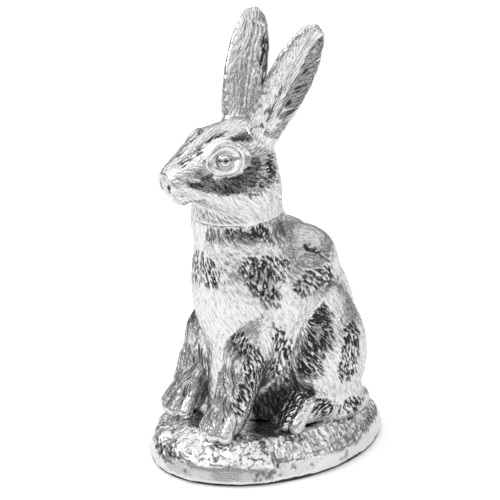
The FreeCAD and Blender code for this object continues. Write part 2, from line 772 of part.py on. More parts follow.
def cap_screws(name, places, diameter):
    """Socket-head screws that come up through the deck, with their washers' room below it."""
    head = f"{diameter} * 0.9"
    screws = []
    for i, (x, y) in enumerate(places):
        bearing = f"{DECK_UNDER} - Sizes.washer_thickness"
        shank_length = "Sizes.washer_thickness + Sizes.deck_thickness + Sizes.screw_grip"
        shank = cylinder(f"{name}_shank_{i}", f"{diameter} / 2", shank_length, x, y, bearing)
        cap = cylinder(f"{name}_cap_{i}", f"{diameter} * 0.85", head, x, y, f"{bearing} - {head}")
        key = add("Part::Prism", f"{name}_key_{i}", Circumradius=f"{diameter} * 0.45", Height=f"{diameter} * 0.5")
        put(key, x, y, f"{bearing} - {head}")
        screws.append(cut(f"{name}_{i}", fuse(f"{name}_blank_{i}", [shank, cap]), [key]))
    return group(name, screws)


def make_washers():
    rings = []
    for diameter, places in (
        ("Sizes.torso_screw_diameter", TORSO_SCREWS),
        ("Sizes.limb_screw_diameter", LIMB_SCREWS),
    ):
        for x, y in places:
            name = f"washer_{len(rings)}"
            low = f"{DECK_UNDER} - Sizes.washer_thickness"
            disc = cylinder(f"{name}_disc", diameter, "Sizes.washer_thickness", x, y, low)
            eye = cylinder(
                f"{name}_eye", f"{diameter} / 2 + Sizes.hole_gap / 2", "Sizes.washer_thickness", x, y, low
            )
            rings.append(cut(name, disc, [eye]))
    return group("washers", rings)


def make_plate_screws():
    screws = []
    for i, (x, y) in enumerate(PLATE_SCREWS):
        cone = add(
            "Part::Cone",
            f"plate_screw_cone_{i}",
            Radius1="Sizes.plate_screw_diameter",
            Radius2="Sizes.plate_screw_diameter / 2",
            Height="Sizes.plate_thickness",
        )
        put(cone, x, y, PLINTH_FOOT)
        shank = cylinder(
            f"plate_screw_shank_{i}", "Sizes.plate_screw_diameter / 2", "Sizes.plate_screw_length", x, y, PLINTH_FOOT
        )
        slot = add(
            "Part::Box",
            f"plate_screw_slot_{i}",
            Length="Sizes.plate_screw_diameter * 2",
            Width="Sizes.plate_screw_diameter * 0.25",
            Height="Sizes.plate_screw_diameter * 0.2",
        )
        put(slot, f"{x} - Sizes.plate_screw_diameter", f"{y} - Sizes.plate_screw_diameter * 0.125", PLINTH_FOOT)
        screws.append(cut(f"plate_screw_{i}", fuse(f"plate_screw_blank_{i}", [cone, shank]), [slot]))
    return group("base_plate_screws", screws)


def make_neck_pins():
    outside = torso_skin("pin_fit", "(-Sizes.pin_cover)")
    pins = neck_pin_cores("neck_pin", "0")
    return group("neck_pins", [common(f"{pin.Name}_flush", pin, outside) for pin in pins])


# ---- build and write -----------------------------------------------------------------------------


def make_all():
    make_sheet()
    nodes = {
        "plinth": make_plinth(),
        "base_plate": make_base_plate(),
        "felt_pad": make_felt(),
        "torso": make_torso(),
        "head": make_head(),
        "left_ear": make_left_ear(),
        "left_eye": eye_form("left_eye", "0"),
        "left_foreleg": make_left_foreleg(),
        "left_haunch": make_left_haunch(),
        "left_hind_foot": make_left_hind_foot(),
        "tail": make_tail(),
        "neck_pins": make_neck_pins(),
        "torso_screws": cap_screws("torso_screws", TORSO_SCREWS, "Sizes.torso_screw_diameter"),
        "limb_screws": cap_screws("limb_screws", LIMB_SCREWS, "Sizes.limb_screw_diameter"),
        "washers": make_washers(),
        "base_plate_screws": make_plate_screws(),
    }
    for name in [n for n in nodes if n.startswith("left_")]:
        nodes[name.replace("left_", "right_")] = mirrored(name.replace("left_", "right_"), nodes[name])
    for name, made in nodes.items():
        made.Label = name
    doc.recompute()
    return nodes


def check(nodes):
    for made in doc.Objects:
        if {"Invalid", "Error"} & set(made.State):
            raise RuntimeError(f"{made.Name} ({made.Label}) failed: {made.State}")
    for name, made in nodes.items():
        shape = made.Shape
        if shape.isNull() or not shape.isValid() or not shape.Solids:
            raise RuntimeError(f"{name} is not a valid solid")


def write(nodes):
    os.makedirs("parts", exist_ok=True)
    for name, made in nodes.items():
        Part.makeCompound(made.Shape.Solids).exportStep(f"parts/{name}.step")


made_nodes = make_all()
check(made_nodes)
write(made_nodes)
for node, piece in made_nodes.items():
    box = piece.Shape.optimalBoundingBox()
    print(
        f"{node:18s} solids {len(piece.Shape.Solids)}  volume {piece.Shape.Volume / 1000:8.2f} cm3"
        f"  x {box.XMin:7.2f} {box.XMax:7.2f}  y {box.YMin:7.2f} {box.YMax:7.2f}  z {box.ZMin:7.2f} {box.ZMax:7.2f}"
    )
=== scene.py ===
"""Sitting hare ornament in bright antiqued silver, sculpted round the cast frame and laid out as an add-on.

The castings are distance fields, in millimetres, placed from the frame's own boxes. Each one is meshed,
then chased: thousands of short curved strokes are cut along the lie of the fur, and keep a dark patina.
"""
import itertools
import math

import bmesh
import bpy
import numpy as np
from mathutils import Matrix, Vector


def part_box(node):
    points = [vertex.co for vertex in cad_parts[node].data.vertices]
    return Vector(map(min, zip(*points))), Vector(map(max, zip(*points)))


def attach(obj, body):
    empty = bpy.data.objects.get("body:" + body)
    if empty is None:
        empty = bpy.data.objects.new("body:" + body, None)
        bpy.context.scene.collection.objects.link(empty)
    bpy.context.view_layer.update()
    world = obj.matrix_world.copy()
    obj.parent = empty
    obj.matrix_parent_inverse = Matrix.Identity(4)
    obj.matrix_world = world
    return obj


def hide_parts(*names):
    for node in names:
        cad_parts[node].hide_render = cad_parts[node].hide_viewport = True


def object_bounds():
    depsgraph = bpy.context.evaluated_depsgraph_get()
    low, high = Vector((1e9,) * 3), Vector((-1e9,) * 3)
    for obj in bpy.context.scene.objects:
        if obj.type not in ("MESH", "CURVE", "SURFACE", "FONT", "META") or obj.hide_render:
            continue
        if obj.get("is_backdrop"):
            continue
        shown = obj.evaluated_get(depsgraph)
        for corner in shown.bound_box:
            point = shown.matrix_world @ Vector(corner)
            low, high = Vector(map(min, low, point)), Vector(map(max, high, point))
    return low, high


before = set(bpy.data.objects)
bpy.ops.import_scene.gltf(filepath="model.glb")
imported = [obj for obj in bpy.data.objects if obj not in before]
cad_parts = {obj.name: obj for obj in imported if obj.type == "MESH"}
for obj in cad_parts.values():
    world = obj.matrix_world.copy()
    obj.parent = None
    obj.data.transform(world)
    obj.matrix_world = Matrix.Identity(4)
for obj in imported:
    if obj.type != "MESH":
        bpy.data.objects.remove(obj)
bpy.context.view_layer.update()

import openvdb
from bpy.props import FloatProperty, FloatVectorProperty, PointerProperty
from bpy.types import Operator, Panel, PropertyGroup
from mathutils import Vector

bl_info = {
    "name": "Sitting Hare Ornament",
    "version": (1, 0, 0),
    "blender": (4, 5, 0),
    "location": "View3D > Sidebar > Hare",
    "description": "Builds a chased silver hare on its ground plinth round the packed frame",
    "category": "Add Mesh",
}

MM = 1000.0
BOX = {node: [np.array(corner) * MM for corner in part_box(node)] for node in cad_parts}
SEAT = BOX["plinth"][1][2]
NECK = BOX["torso"][1][2]
OVERLAP = 0.8  # how far neighbouring castings run into each other behind their joint


def at(node, right, back, up):
    """A point in a node's box, as shares of its width, depth and height."""
    low, high = BOX[node]
    return low + (high - low) * np.array((right, back, up))


# ---- distance fields -----------------------------------------------------------------------------


def egg(points, centre, radii):
    """An ellipsoid. Distances are close to true ones near its surface."""
    offset = points - centre
    inner = np.linalg.norm(offset / radii, axis=1)
    outer = np.linalg.norm(offset / np.square(radii), axis=1)
    return inner * (inner - 1) / np.maximum(outer, 1e-6)


def limb(points, start, end, start_radius, end_radius):
    """A rounded rod that tapers from one end to the other."""
    axis = end - start
    along = np.clip((points - start) @ axis / (axis @ axis), 0, 1)
    gap = np.linalg.norm(points - start - along[:, None] * axis, axis=1)
    return gap - (start_radius + along * (end_radius - start_radius))


def chain(points, knots, soft):
    """Limbs from knot to knot. Each knot is a place and a radius."""
    made = None
    for (start, start_radius), (end, end_radius) in zip(knots, knots[1:]):
        part = limb(points, start, end, start_radius, end_radius)
        made = part if made is None else join(made, part, soft)
    return made


def join(first, second, soft):
    """Union with a fillet."""
    share = np.maximum(soft - np.abs(first - second), 0) / soft
    return np.minimum(first, second) - share * share * soft / 4


def trim(first, second, soft):
    """First without second, with a softened edge."""
    return -join(-first, second, soft)


def stack(points, rows):
    """Ellipses piled along Z. A row is height, centre x and y, half width and half depth."""
    height = points[:, 2]
    x, y, half_x, half_y = (np.interp(height, rows[:, 0], rows[:, k]) for k in range(1, 5))
    across, along = (points[:, 0] - x) / half_x, (points[:, 1] - y) / half_y
    inner = np.hypot(across, along)
    outer = np.hypot(across / half_x, along / half_y)
    side = inner * (inner - 1) / np.maximum(outer, 1e-6)
    return np.maximum(side, np.maximum(rows[0, 0] - height, height - rows[-1, 0]))


def noise(points, scale, seed=0):
    """Smooth value noise from 0 to 1, fixed by place and seed."""
    place = points / scale + seed * 17.31
    cell = np.floor(place).astype(np.int64)
    part = place - cell
    part = part * part * (3 - 2 * part)
    total = np.zeros(len(points))
    for corner in itertools.product((0, 1), repeat=3):
        near = cell + corner
        mixed = near[:, 0] * 73856093 ^ near[:, 1] * 19349663 ^ near[:, 2] * 83492791
        mixed = (mixed ^ (mixed >> 13)) * 1274126177 & 0x7FFFFFFF
        weight = np.prod(np.where(corner, part, 1 - part), axis=1)
        total += weight * (mixed % 65536) / 65535
    return total


def ease(value, low, high):
    """0 below low, 1 above high, and smooth in between."""
    share = np.clip((value - low) / (high - low), 0, 1)
    return share * share * (3 - 2 * share)


def outline_rows(node, turned=(0, 1, 2), count=48):
    """A node's outline at even heights, as rows for stack. Turned axes put another direction upwards."""
    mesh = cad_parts[node].data
    corners = np.empty(len(mesh.vertices) * 3, np.float32)
    mesh.vertices.foreach_get("co", corners)
    corners = corners.reshape(-1, 3)[:, turned].astype(float) * MM
    ends = np.empty(len(mesh.edges) * 2, np.int32)
    mesh.edges.foreach_get("vertices", ends)
    first, second = corners[ends[::2]], corners[ends[1::2]]
    margin = 0.05
    rows = []
    for height in np.linspace(corners[:, 2].min() + margin, corners[:, 2].max() - margin, count):
        crossing = (first[:, 2] - height) * (second[:, 2] - height) < 0
        one, two = first[crossing], second[crossing]
        share = (height - one[:, 2]) / (two[:, 2] - one[:, 2])
        cut = one + (two - one) * share[:, None]
        low, high = cut.min(axis=0), cut.max(axis=0)
        rows.append((height, *(low + high)[:2] / 2, *(high - low)[:2] / 2))
    rows = np.array(rows)
    kernel = np.array((1, 2, 3, 2, 1)) / 9
    for column in range(1, 5):
        padded = np.pad(rows[:, column], 2, mode="edge")
        rows[:, column] = np.convolve(padded, kernel, mode="valid")
    return rows


# ---- the hare's forms, on its left side and mirrored ---------------------------------------------

TORSO_ROWS = outline_rows("torso")
LENGTHWISE = (0, 2, 1)
HEAD_ROWS = outline_rows("head", LENGTHWISE)


def torso_form(p):
    trunk = stack(p, np.vstack((TORSO_ROWS, TORSO_ROWS[-1] + (9, 0, 0, -0.6, -1.2))))
    chest = egg(p, at("torso", 0.50, 0.14, 0.62), (20, 11, 30))
    shoulder = egg(p, at("torso", 0.76, 0.35, 0.60), (13.5, 17, 25))
    blade = egg(p, at("torso", 0.64, 0.60, 0.74), (17, 21, 18))
    made = join(trunk, chest, 8)
    made = join(made, shoulder, 9)
    made = join(made, blade, 8)
    brisket = limb(p, at("torso", 0.50, 0.26, 0.44), at("torso", 0.50, 0.18, 0.02), 16, 11)
    made = join(made, brisket, 6)
    return made - 0.9 * ease(p[:, 2], NECK - 11, NECK - 3)


EYE = (BOX["left_eye"][1] + BOX["left_eye"][0]) / 2
EYE_RADIUS = (BOX["left_eye"][1][1] - BOX["left_eye"][0][1]) / 2
EYE[0] = BOX["left_eye"][1][0] - EYE_RADIUS


def eye_axes():
    """Along the eye from inner to outer corner, up across the lids, and outwards."""
    along = np.array((0.34, 0.915, 0.217))
    along /= np.linalg.norm(along)
    out = np.array((0.88, -0.40, 0.24))
    out -= along * (out @ along)
    out /= np.linalg.norm(out)
    return along, np.cross(out, along), out


def eye_place(p):
    """A point in the eye's own directions."""
    return np.stack([(p - EYE) @ axis for axis in eye_axes()], axis=1)


def arch(q, left, right, foot, crown, level, radius):
    """A rounded band from one corner of the eye over, or under, to the other."""
    u, v, w = q.T
    middle, half = (left + right) / 2, (right - left) / 2
    share = (u - middle) / half
    line = foot + (crown - foot) * (1 - share * share)
    lean = np.hypot(1, 2 * (crown - foot) * share / half)
    past = np.maximum(np.abs(u - middle) - half, 0)
    swell = radius * (1 - 0.45 * share * share)
    return np.sqrt(np.square((v - line) / lean) + np.square(w - level) + past * past) - swell


def head_form(p):
    turned = p[:, LENGTHWISE]
    made = stack(turned, HEAD_ROWS)
    made = join(made, egg(p, at("head", 0.72, 0.58, 0.46), (11.5, 17, 14)), 6)
    made = join(made, limb(p, at("head", 0.58, 0.11, 0.59), at("head", 0.68, 0.43, 0.71), 5.0, 11.2), 7)
    throat = at("head", 0.50, 0.30, 0.30) - at("head", 0.50, -0.01, 0.44)
    under = np.cross(throat, (1, 0, 0)) / np.linalg.norm(throat)
    made = trim(made, -(p - at("head", 0.50, 0.30, 0.30)) @ under, 5)
    made = join(made, egg(p, at("head", 0.63, 0.11, 0.53), (4.8, 7.5, 5.4)), 1.4)
    lip = [
        (at("head", 0.51, 0.05, 0.44), 2.4),
        (at("head", 0.64, 0.12, 0.41), 2.5),
        (at("head", 0.75, 0.23, 0.42), 2.0),
    ]
    made = join(made, chain(p, lip, 1.0), 0.7)
    made = join(made, egg(p, at("head", 0.50, 0.15, 0.37), (5.6, 5.6, 3.0)), 0.7)
    made = join(made, egg(p, at("head", 0.50, 0.03, 0.54), (5.0, 3.4, 4.8)), 1.0)
    neck_rows = np.vstack((TORSO_ROWS[-1] - (9, 0, 0, 0, 0), TORSO_ROWS[-1] + (16, 0, 1.5, -1.8, -3.5)))
    made = join(made, stack(p, neck_rows), 7)
    q = eye_place(p)
    made = trim(made, egg(q, np.array((0, 0, 5.4)), np.array((9.5, 6.8, 4.6))), 1.5)
    made = join(made, arch(q, -8.5, 9.0, -0.4, -6.3, 2.1, 1.35), 0.25)
    made = join(made, arch(q, -10.5, 9.5, -0.6, 5.8, 2.2, 1.05), 0.25)
    made = join(made, arch(q, -10.5, 13.0, 1.2, 9.0, 1.6, 1.7), 0.4)
    for start, end, radius in CUTS:
        made = trim(made, limb(p, start, end, radius, radius), 0.5)
    return made


# The nostril and the cleft below it.
CUTS = (
    (at("head", 0.57, -0.01, 0.53), at("head", 0.61, 0.02, 0.51), 0.55),
    (at("head", 0.53, -0.01, 0.48), at("head", 0.52, 0.01, 0.44), 0.5),
)


def ear_axes():
    """Root, length, and the ear's own across, backwards and upwards directions."""
    root, tip = at("left_ear", 0.24, 0.25, 0.14), at("left_ear", 0.89, 0.85, 1.00)
    edge = at("left_ear", 0.57, 0.87, 0.49)
    length = np.linalg.norm(tip - root)
    up = (tip - root) / length
    back = edge - root
    back -= up * (back @ up)
    back /= np.linalg.norm(back)
    return root, length, np.cross(back, up), back, up


EAR_ROOT, EAR_LENGTH, EAR_ACROSS, EAR_BACK, EAR_UP = ear_axes()
EAR_SHARES = (-0.10, 0.0, 0.12, 0.3, 0.5, 0.7, 0.86, 0.95, 1.0)
EAR_HALF_WIDTHS = (8.6, 10.2, 12.2, 13.9, 14.2, 12.8, 9.8, 6.8, 1.0)
EAR_HALF_DEPTHS = (6.5, 6.2, 5.6, 5.0, 4.6, 4.0, 3.3, 2.5, 0.6)


def ear_place(p):
    """A point in the ear's own across, backwards and upwards directions."""
    local = p - EAR_ROOT
    return np.stack((local @ EAR_ACROSS, local @ EAR_BACK, local @ EAR_UP), axis=1)


def ear_form(p):
    q = ear_place(p)
    share = np.array(EAR_SHARES) * EAR_LENGTH
    zero = np.zeros(len(share))
    widths, depths = np.array(EAR_HALF_WIDTHS), np.array(EAR_HALF_DEPTHS)
    made = stack(q, np.stack((share, zero, zero, depths, widths), axis=1))
    bowl = np.stack((share, depths * 0.95, widths * 0.24, depths * 1.0, widths * 0.56), axis=1)
    made = trim(made, stack(q, bowl[1:-1]), 0.8)
    crease = np.stack((share, depths * 0.75, widths * -0.36, depths * 0.35, zero + 0.7), axis=1)
    made = trim(made, stack(q, crease[2:-1]), 0.8)
    wavy = q + np.outer((noise(q, 9, 2) - 0.5) * 4, (0, 1, 0))
    for line, half in ((-0.62, 1.5), (-0.15, 0.7), (0.08, 0.9), (0.42, 1.6)):
        groove = np.stack((share, -depths * 0.98, widths * line, zero + 1.1, zero + half), axis=1)
        made = trim(made, stack(wavy, groove[2:-2]), 0.8)
    return made * 0.9


def foreleg_form(p):
    leg = chain(
        p,
        [
            (at("left_foreleg", 0.33, 0.80, 0.99), 10.5),
            (at("left_foreleg", 0.43, 0.67, 0.73), 11.2),
            (at("left_foreleg", 0.46, 0.52, 0.43), 10.6),
            (at("left_foreleg", 0.46, 0.41, 0.25), 9.8),
            (at("left_foreleg", 0.46, 0.36, 0.13), 9.2),
        ],
        4,
    )
    for spread in (-1.5, -0.5, 0.5, 1.5):
        back = spread**2
        knuckle = at("left_foreleg", 0.46, 0.27, 0.35) + (spread * 4.4, back * 1.8, -abs(spread) * 1.6)
        tip = at("left_foreleg", 0.46, 0.05, 0.06) + (spread * 6.0, back * 1.7, 0)
        leg = join(leg, limb(p, knuckle, tip, 2.8, 4.1), 0.35)
    return leg


def haunch_form(p):
    thigh = egg(p, at("left_haunch", 0.19, 0.47, 0.49), (18.5, 24.5, 36))
    knee = egg(p, at("left_haunch", 0.37, 0.19, 0.56), (12, 10.5, 20))
    hock = egg(p, at("left_haunch", 0.41, 0.57, 0.08), (9.8, 21, 11))
    return join(join(thigh, knee, 8), hock, 6)


def hind_foot_form(p):
    foot = limb(p, at("left_hind_foot", 0.44, 0.65, 0.57), at("left_hind_foot", 0.46, 0.33, 0.57), 9.4, 9.0)
    for spread in (-1, 0, 1):
        away = abs(spread)
        knuckle = at("left_hind_foot", 0.48, 0.21, 1.00) + (spread * 6.0, away * 1.2, -away * 1.6)
        tip = at("left_hind_foot", 0.46, -0.07, 0.25) + (spread * 7.0, away * 2.0, 0)
        foot = join(foot, limb(p, knuckle, tip, 3.8, 4.3), 0.6)
    return foot


def tail_form(p):
    low, high = BOX["tail"]
    return egg(p, (low + high) / 2 + (0, -1, 0), (high - low) / 2 * (1.0, 0.92, 1.0))


FORMS = {
    "torso": torso_form,
    "head": head_form,
    "ear": ear_form,
    "foreleg": foreleg_form,
    "haunch": haunch_form,
    "hind_foot": hind_foot_form,
    "tail": tail_form,
}


def foreleg_outer(p):
    """0 along the foreleg's front, and 1 on the side that runs into the body."""
    low, high = at("left_foreleg", 0.48, 0.36, 0.23), at("left_foreleg", 0.48, 0.80, 0.99)
    axis_y = low[1] + (p[:, 2] - low[2]) * (high[1] - low[1]) / (high[2] - low[2])
    return ease((p[:, 0] - low[0]) * 0.6 + (p[:, 1] - axis_y) * 0.8, -2.0, 3.0)


def mirrored(points):
    """The same points, all on the left side."""
    p = points * (1, 1, 1)
    p[:, 0] = np.abs(p[:, 0])
    return p


def hare(points):
    """The distance to each form, and to the whole hare with its forms blended."""
    p = mirrored(points)
    parts = {name: form(p) for name, form in FORMS.items()}
    whole = join(parts["torso"], parts["head"], 1.0)
    whole = join(whole, parts["ear"], 2.0)
    whole = join(whole, parts["foreleg"], 1.2 + 9 * foreleg_outer(p) * ease(p[:, 2], 38, 52))
    rear = ease(p[:, 1], 8, 30) * ease(p[:, 2], 40, 75)
    whole = join(whole, parts["haunch"], 0.8 + 8 * rear)
    whole = join(whole, parts["hind_foot"], 0.8)
    whole = join(whole, parts["tail"], 3)
    return parts, np.maximum(whole, SEAT - 1.6 - points[:, 2])


def own_share(name, parts, points):
    """Negative where a point belongs to that form's casting."""
    neck = NECK - points[:, 2]
    if name == "head":
        return np.maximum(neck, parts["head"] - parts["ear"])
    if name == "ear":
        return parts["ear"] - parts["head"]
    below = {other: value for other, value in parts.items() if other not in ("head", "ear")}
    rivals = [value for other, value in below.items() if other != name]
    split = (below[name] - np.minimum.reduce(rivals)) / 2
    return np.maximum(split, -neck)


def casting_field(name):
    def field(points):
        parts, whole = hare(points)
        return np.maximum(whole, own_share(name, parts, points) - OVERLAP)

    return field


# ---- the ground ----------------------------------------------------------------------------------

GROUND_LOW, GROUND_HIGH = BOX["plinth"]
GROUND_HALF = (GROUND_HIGH - GROUND_LOW) / 2


def rim_planes(count=23):
    """The chiselled faces of the rim, as outward directions and their distances from the middle."""
    random = np.random.default_rng(7)
    angles = (np.arange(count) + random.uniform(-0.3, 0.3, count)) * 2 * math.pi / count
    x, y = np.cos(angles), np.sin(angles)
    outward = np.stack((x / GROUND_HALF[0], y / GROUND_HALF[1], np.zeros(count)), axis=1)
    outward /= np.linalg.norm(outward, axis=1)[:, None]
    touching = np.stack((x * GROUND_HALF[0], y * GROUND_HALF[1], np.full(count, 5.0)), axis=1)
    outward[:, 2] = random.uniform(0.05, 0.3, count)
    outward /= np.linalg.norm(outward, axis=1)[:, None]
    inset = random.uniform(0.0, 1.2, count)
    return outward, np.sum(outward * touching, axis=1) - inset


RIM_OUTWARD, RIM_REACH = rim_planes()
HOLLOW_WALL, HOLLOW_ROOF = 10, 3  # thickness of the casting round and over its hollow


def oval(points, half_x, half_y):
    """How far outside an upright oval wall."""
    rows = np.array(((-50.0, 0, 0, half_x, half_y), (50.0, 0, 0, half_x, half_y)))
    return stack(points, rows)


def ground_reach(points):
    """How far out on the plinth: 0 in the middle, 1 at its rim."""
    return np.hypot(points[:, 0] / GROUND_HALF[0], points[:, 1] / GROUND_HALF[1])


def mound_height(points):
    """Height of the ground, with its lumps and hollows."""
    reach = ground_reach(points)
    flat = points * (1, 1, 0)
    wander = (noise(flat, 13, 3) - 0.5) * 0.10
    rise = 1 - ease(reach + wander, 0.72, 1.04)
    edge = 8.5 + 2.5 * noise(flat, 11, 5)
    lumps = 2.6 * (noise(flat, 9, 1) - 0.5) + 1.3 * (noise(flat, 4.2, 2) - 0.5)
    return edge + (SEAT - 0.3 - edge) * rise**0.8 + lumps * (0.35 + 0.65 * ease(reach, 0.55, 0.9))


def ground_field(points):
    side = np.max(points @ RIM_OUTWARD.T - RIM_REACH, axis=1)
    ground = mound_height(points)
    top = (points[:, 2] - ground) * 0.8
    made = -join(-side, -top, 2.2)
    made = np.maximum(made, GROUND_LOW[2] - points[:, 2])
    plate = (BOX["base_plate"][1] - BOX["base_plate"][0]) / 2
    rebate = np.maximum(oval(points, plate[0] + 0.3, plate[1] + 0.3), points[:, 2] - BOX["base_plate"][1][2])
    roof = np.minimum(BOX["washers"][1][2], ground - HOLLOW_ROOF)
    inner = oval(points, GROUND_HALF[0] - HOLLOW_WALL, GROUND_HALF[1] - HOLLOW_WALL)
    hollow = np.maximum(inner, points[:, 2] - roof)
    return np.maximum(made, -np.minimum(rebate, hollow))


# ---- meshes from fields --------------------------------------------------------------------------


def cast_mesh(field, low, high, voxel):
    """Points and quads of a field's surface between two corners."""
    border = 3
    counts = np.ceil((high - low) / voxel).astype(int) + 2 * border
    axes = [low[k] + (np.arange(counts[k]) - border) * voxel for k in range(3)]
    lattice = np.stack(np.meshgrid(*axes, indexing="ij"), axis=-1).reshape(-1, 3)
    values = np.concatenate([field(block) for block in np.array_split(lattice, len(lattice) // 200000 + 1)])
    values = np.clip(values.reshape(counts), -3 * voxel, 3 * voxel)
    for axis in range(3):
        face = np.moveaxis(values, axis, 0)
        face[0] = face[-1] = 3 * voxel
    grid = openvdb.FloatGrid()
    grid.background = 3 * voxel
    grid.copyFromArray(np.ascontiguousarray(values, np.float32))
    points, quads = grid.convertToQuads(0.0)
    return points * voxel + (low - border * voxel), quads


def add_object(name, data):
    made = bpy.data.objects.new(name, data)
    bpy.context.scene.collection.objects.link(made)
    return made


def new_mesh(name, points, faces):
    """A smooth-shaded mesh object in metres from points in millimetres."""
    mesh = bpy.data.meshes.new(name)
    mesh.from_pydata((points / MM).tolist(), [], faces)
    mesh.validate()
    mesh.polygons.foreach_set("use_smooth", np.ones(len(mesh.polygons), bool))
    return add_object(name, mesh)


def settle(piece):
    """The piece with its modifiers applied, as a plain mesh."""
    bpy.context.view_layer.update()
    evaluated = piece.evaluated_get(bpy.context.evaluated_depsgraph_get())
    mesh = bpy.data.meshes.new_from_object(evaluated)
    piece.modifiers.clear()
    old, piece.data = piece.data, mesh
    bpy.data.meshes.remove(old)
    mesh.name = piece.name
    return piece


def refine(piece):
    """Each face split in four, on a smooth surface."""
    finer = piece.modifiers.new("finer", "SUBSURF")
    finer.levels = finer.render_levels = 1
    return settle(piece)


def read(piece):
    """Places and normals, in millimetres."""
    mesh = piece.data
    places = np.empty(len(mesh.vertices) * 3, np.float32)
    mesh.vertices.foreach_get("co", places)
    normals = np.empty(len(mesh.vertices) * 3, np.float32)
    mesh.vertex_normals.foreach_get("vector", normals)
    return places.reshape(-1, 3).astype(float) * MM, normals.reshape(-1, 3).astype(float)


def write(piece, places):
    piece.data.vertices.foreach_set("co", (places / MM).astype(np.float32).ravel())
    piece.data.update()


def write_values(piece, name, values):
    found = piece.data.attributes.get(name) or piece.data.attributes.new(name, "FLOAT", "POINT")
    found.data.foreach_set("value", values.astype(np.float32))


# ---- chasing -------------------------------------------------------------------------------------


def slope(field, points, step=0.25):
    """Outward unit directions of a field, and its values."""
    here = field(points)
    rises = [field(points + np.eye(3)[axis] * step) - here for axis in range(3)]
    outward = np.stack(rises, axis=1)
    return outward / np.maximum(np.linalg.norm(outward, axis=1), 1e-9)[:, None], here


def spread_seeds(places, keep, spacing, random):
    """Kept places thinned to about one in each cube of that size."""
    chosen = random.permutation(np.flatnonzero(keep))
    shift = random.uniform(0, spacing, 3)
    cells = np.floor((places[chosen] + shift) / spacing).astype(np.int64)
    _, first = np.unique(cells, axis=0, return_index=True)
    return places[chosen[first]]


def draw_strokes(field, seeds, flow, tool, random, step=0.4):
    """Points along each stroke, with its width, depth and ink there: broad at its start, fine at its end."""
    length, width, depth, ink = tool
    count = len(seeds)
    reach = random.uniform(0.6, 1.3, count) * length
    curl = (noise(seeds, 9, 8) - 0.5) * 0.16
    turn = random.normal(0, 0.12, count)
    weight = random.uniform(0.45, 1.0, count)
    here, rows = seeds.copy(), []
    for number in range(int(length * 1.3 / step)):
        outward, value = slope(field, here)
        here = here - outward * np.clip(value, -1, 1)[:, None]
        along = flow(here)
        along = along - outward * np.sum(along * outward, axis=1)[:, None]
        along /= np.maximum(np.linalg.norm(along, axis=1), 1e-9)[:, None]
        angle = turn + curl * number
        along = along * np.cos(angle)[:, None] + np.cross(outward, along) * np.sin(angle)[:, None]
        share = number * step / reach
        shape = np.sin(np.pi * np.clip(share, 0, 1) ** 0.65)
        alive = (share < 1) & (shape > 0.05)
        force = weight * shape
        row = (here, width * (0.45 + 0.55 * shape), depth * force, ink * force**0.3)
        rows.append(np.column_stack(row)[alive])
        here = here + along * step
    return np.concatenate(rows)


def stroke_marks(places, strokes, reach=1.5):
    """How deep the strokes cut at each place, and how much ink they hold there."""
    cut, ink = np.zeros(len(places)), np.zeros(len(places))
    base = np.floor(np.minimum(places.min(axis=0), strokes[:, :3].min(axis=0)) / reach).astype(np.int64) - 2

    def keys(cells):
        return (cells[:, 0] << 40) | (cells[:, 1] << 20) | cells[:, 2]

    stroke_cells = np.floor(strokes[:, :3] / reach).astype(np.int64) - base
    order = np.argsort(keys(stroke_cells))
    strokes, sorted_keys = strokes[order], keys(stroke_cells)[order]
    place_cells = np.floor(places / reach).astype(np.int64) - base
    for shift in itertools.product((-1, 0, 1), repeat=3):
        wanted = keys(place_cells + shift)
        first = np.searchsorted(sorted_keys, wanted, "left")
        counts = np.searchsorted(sorted_keys, wanted, "right") - first
        hit = np.flatnonzero(counts)
        if not len(hit):
            continue
        counts, first = counts[hit], first[hit]
        starts = np.cumsum(counts) - counts
        pair = np.arange(counts.sum()) - np.repeat(starts, counts) + np.repeat(first, counts)
        owner = np.repeat(hit, counts)
        gap = np.linalg.norm(places[owner] - strokes[pair, :3], axis=1)
        shape = np.exp(-np.square(gap / strokes[pair, 3]) * 2)
        cut[hit] = np.maximum(cut[hit], np.maximum.reduceat(strokes[pair, 4] * shape, starts))
        stain = strokes[pair, 5] * (1 - ease(gap / strokes[pair, 3], 0.55, 1.15))
        ink[hit] = np.maximum(ink[hit], np.maximum.reduceat(stain, starts))
    return cut, ink


# ---- how the fur lies ----------------------------------------------------------------------------


def unmirror(points, vectors):
    """Vectors drawn for the left side, turned over where their points lie on the right."""
    vectors[:, 0] *= np.where(points[:, 0] < 0, -1, 1)
    return vectors


def even(points, direction):
    return np.tile(np.array(direction, float), (len(points), 1))


def swirl(points, vectors, scale, most):
    """Vectors turned about X by a slowly changing angle."""
    angle = (noise(points, scale, 9) - 0.5) * 2 * most
    y, z = vectors[:, 1].copy(), vectors[:, 2].copy()
    vectors[:, 1] = y * np.cos(angle) - z * np.sin(angle)
    vectors[:, 2] = y * np.sin(angle) + z * np.cos(angle)
    return vectors


def torso_flow(points):
    p = mirrored(points)
    lie = even(p, (0.1, 0.35, -1))
    lie[:, 1] += 0.9 * ease(p[:, 1], -20, 20)
    straight = ease(p[:, 2], NECK - 14, NECK - 4)[:, None]
    lie = lie * (1 - straight) + np.array((0, 0.05, -1)) * straight
    return unmirror(points, swirl(points, lie, 21, 0.9))


def head_flow(points):
    p = mirrored(points)
    lie = even(p, (0, 1, -0.15))
    lie[:, 2] += 0.45 * ease(p[:, 2], 172, 184) - 0.75 * ease(-p[:, 2], -164, -150)
    return unmirror(points, swirl(points, lie, 14, 0.35))


def ear_flow(points):
    p = mirrored(points)
    q = ear_place(p)
    lean = np.where(q[:, 0] > 0, 0.7 * np.clip(q[:, 1] / 6, -0.5, 1), 0.15)[:, None]
    return unmirror(points, even(p, EAR_UP) + lean * EAR_BACK)


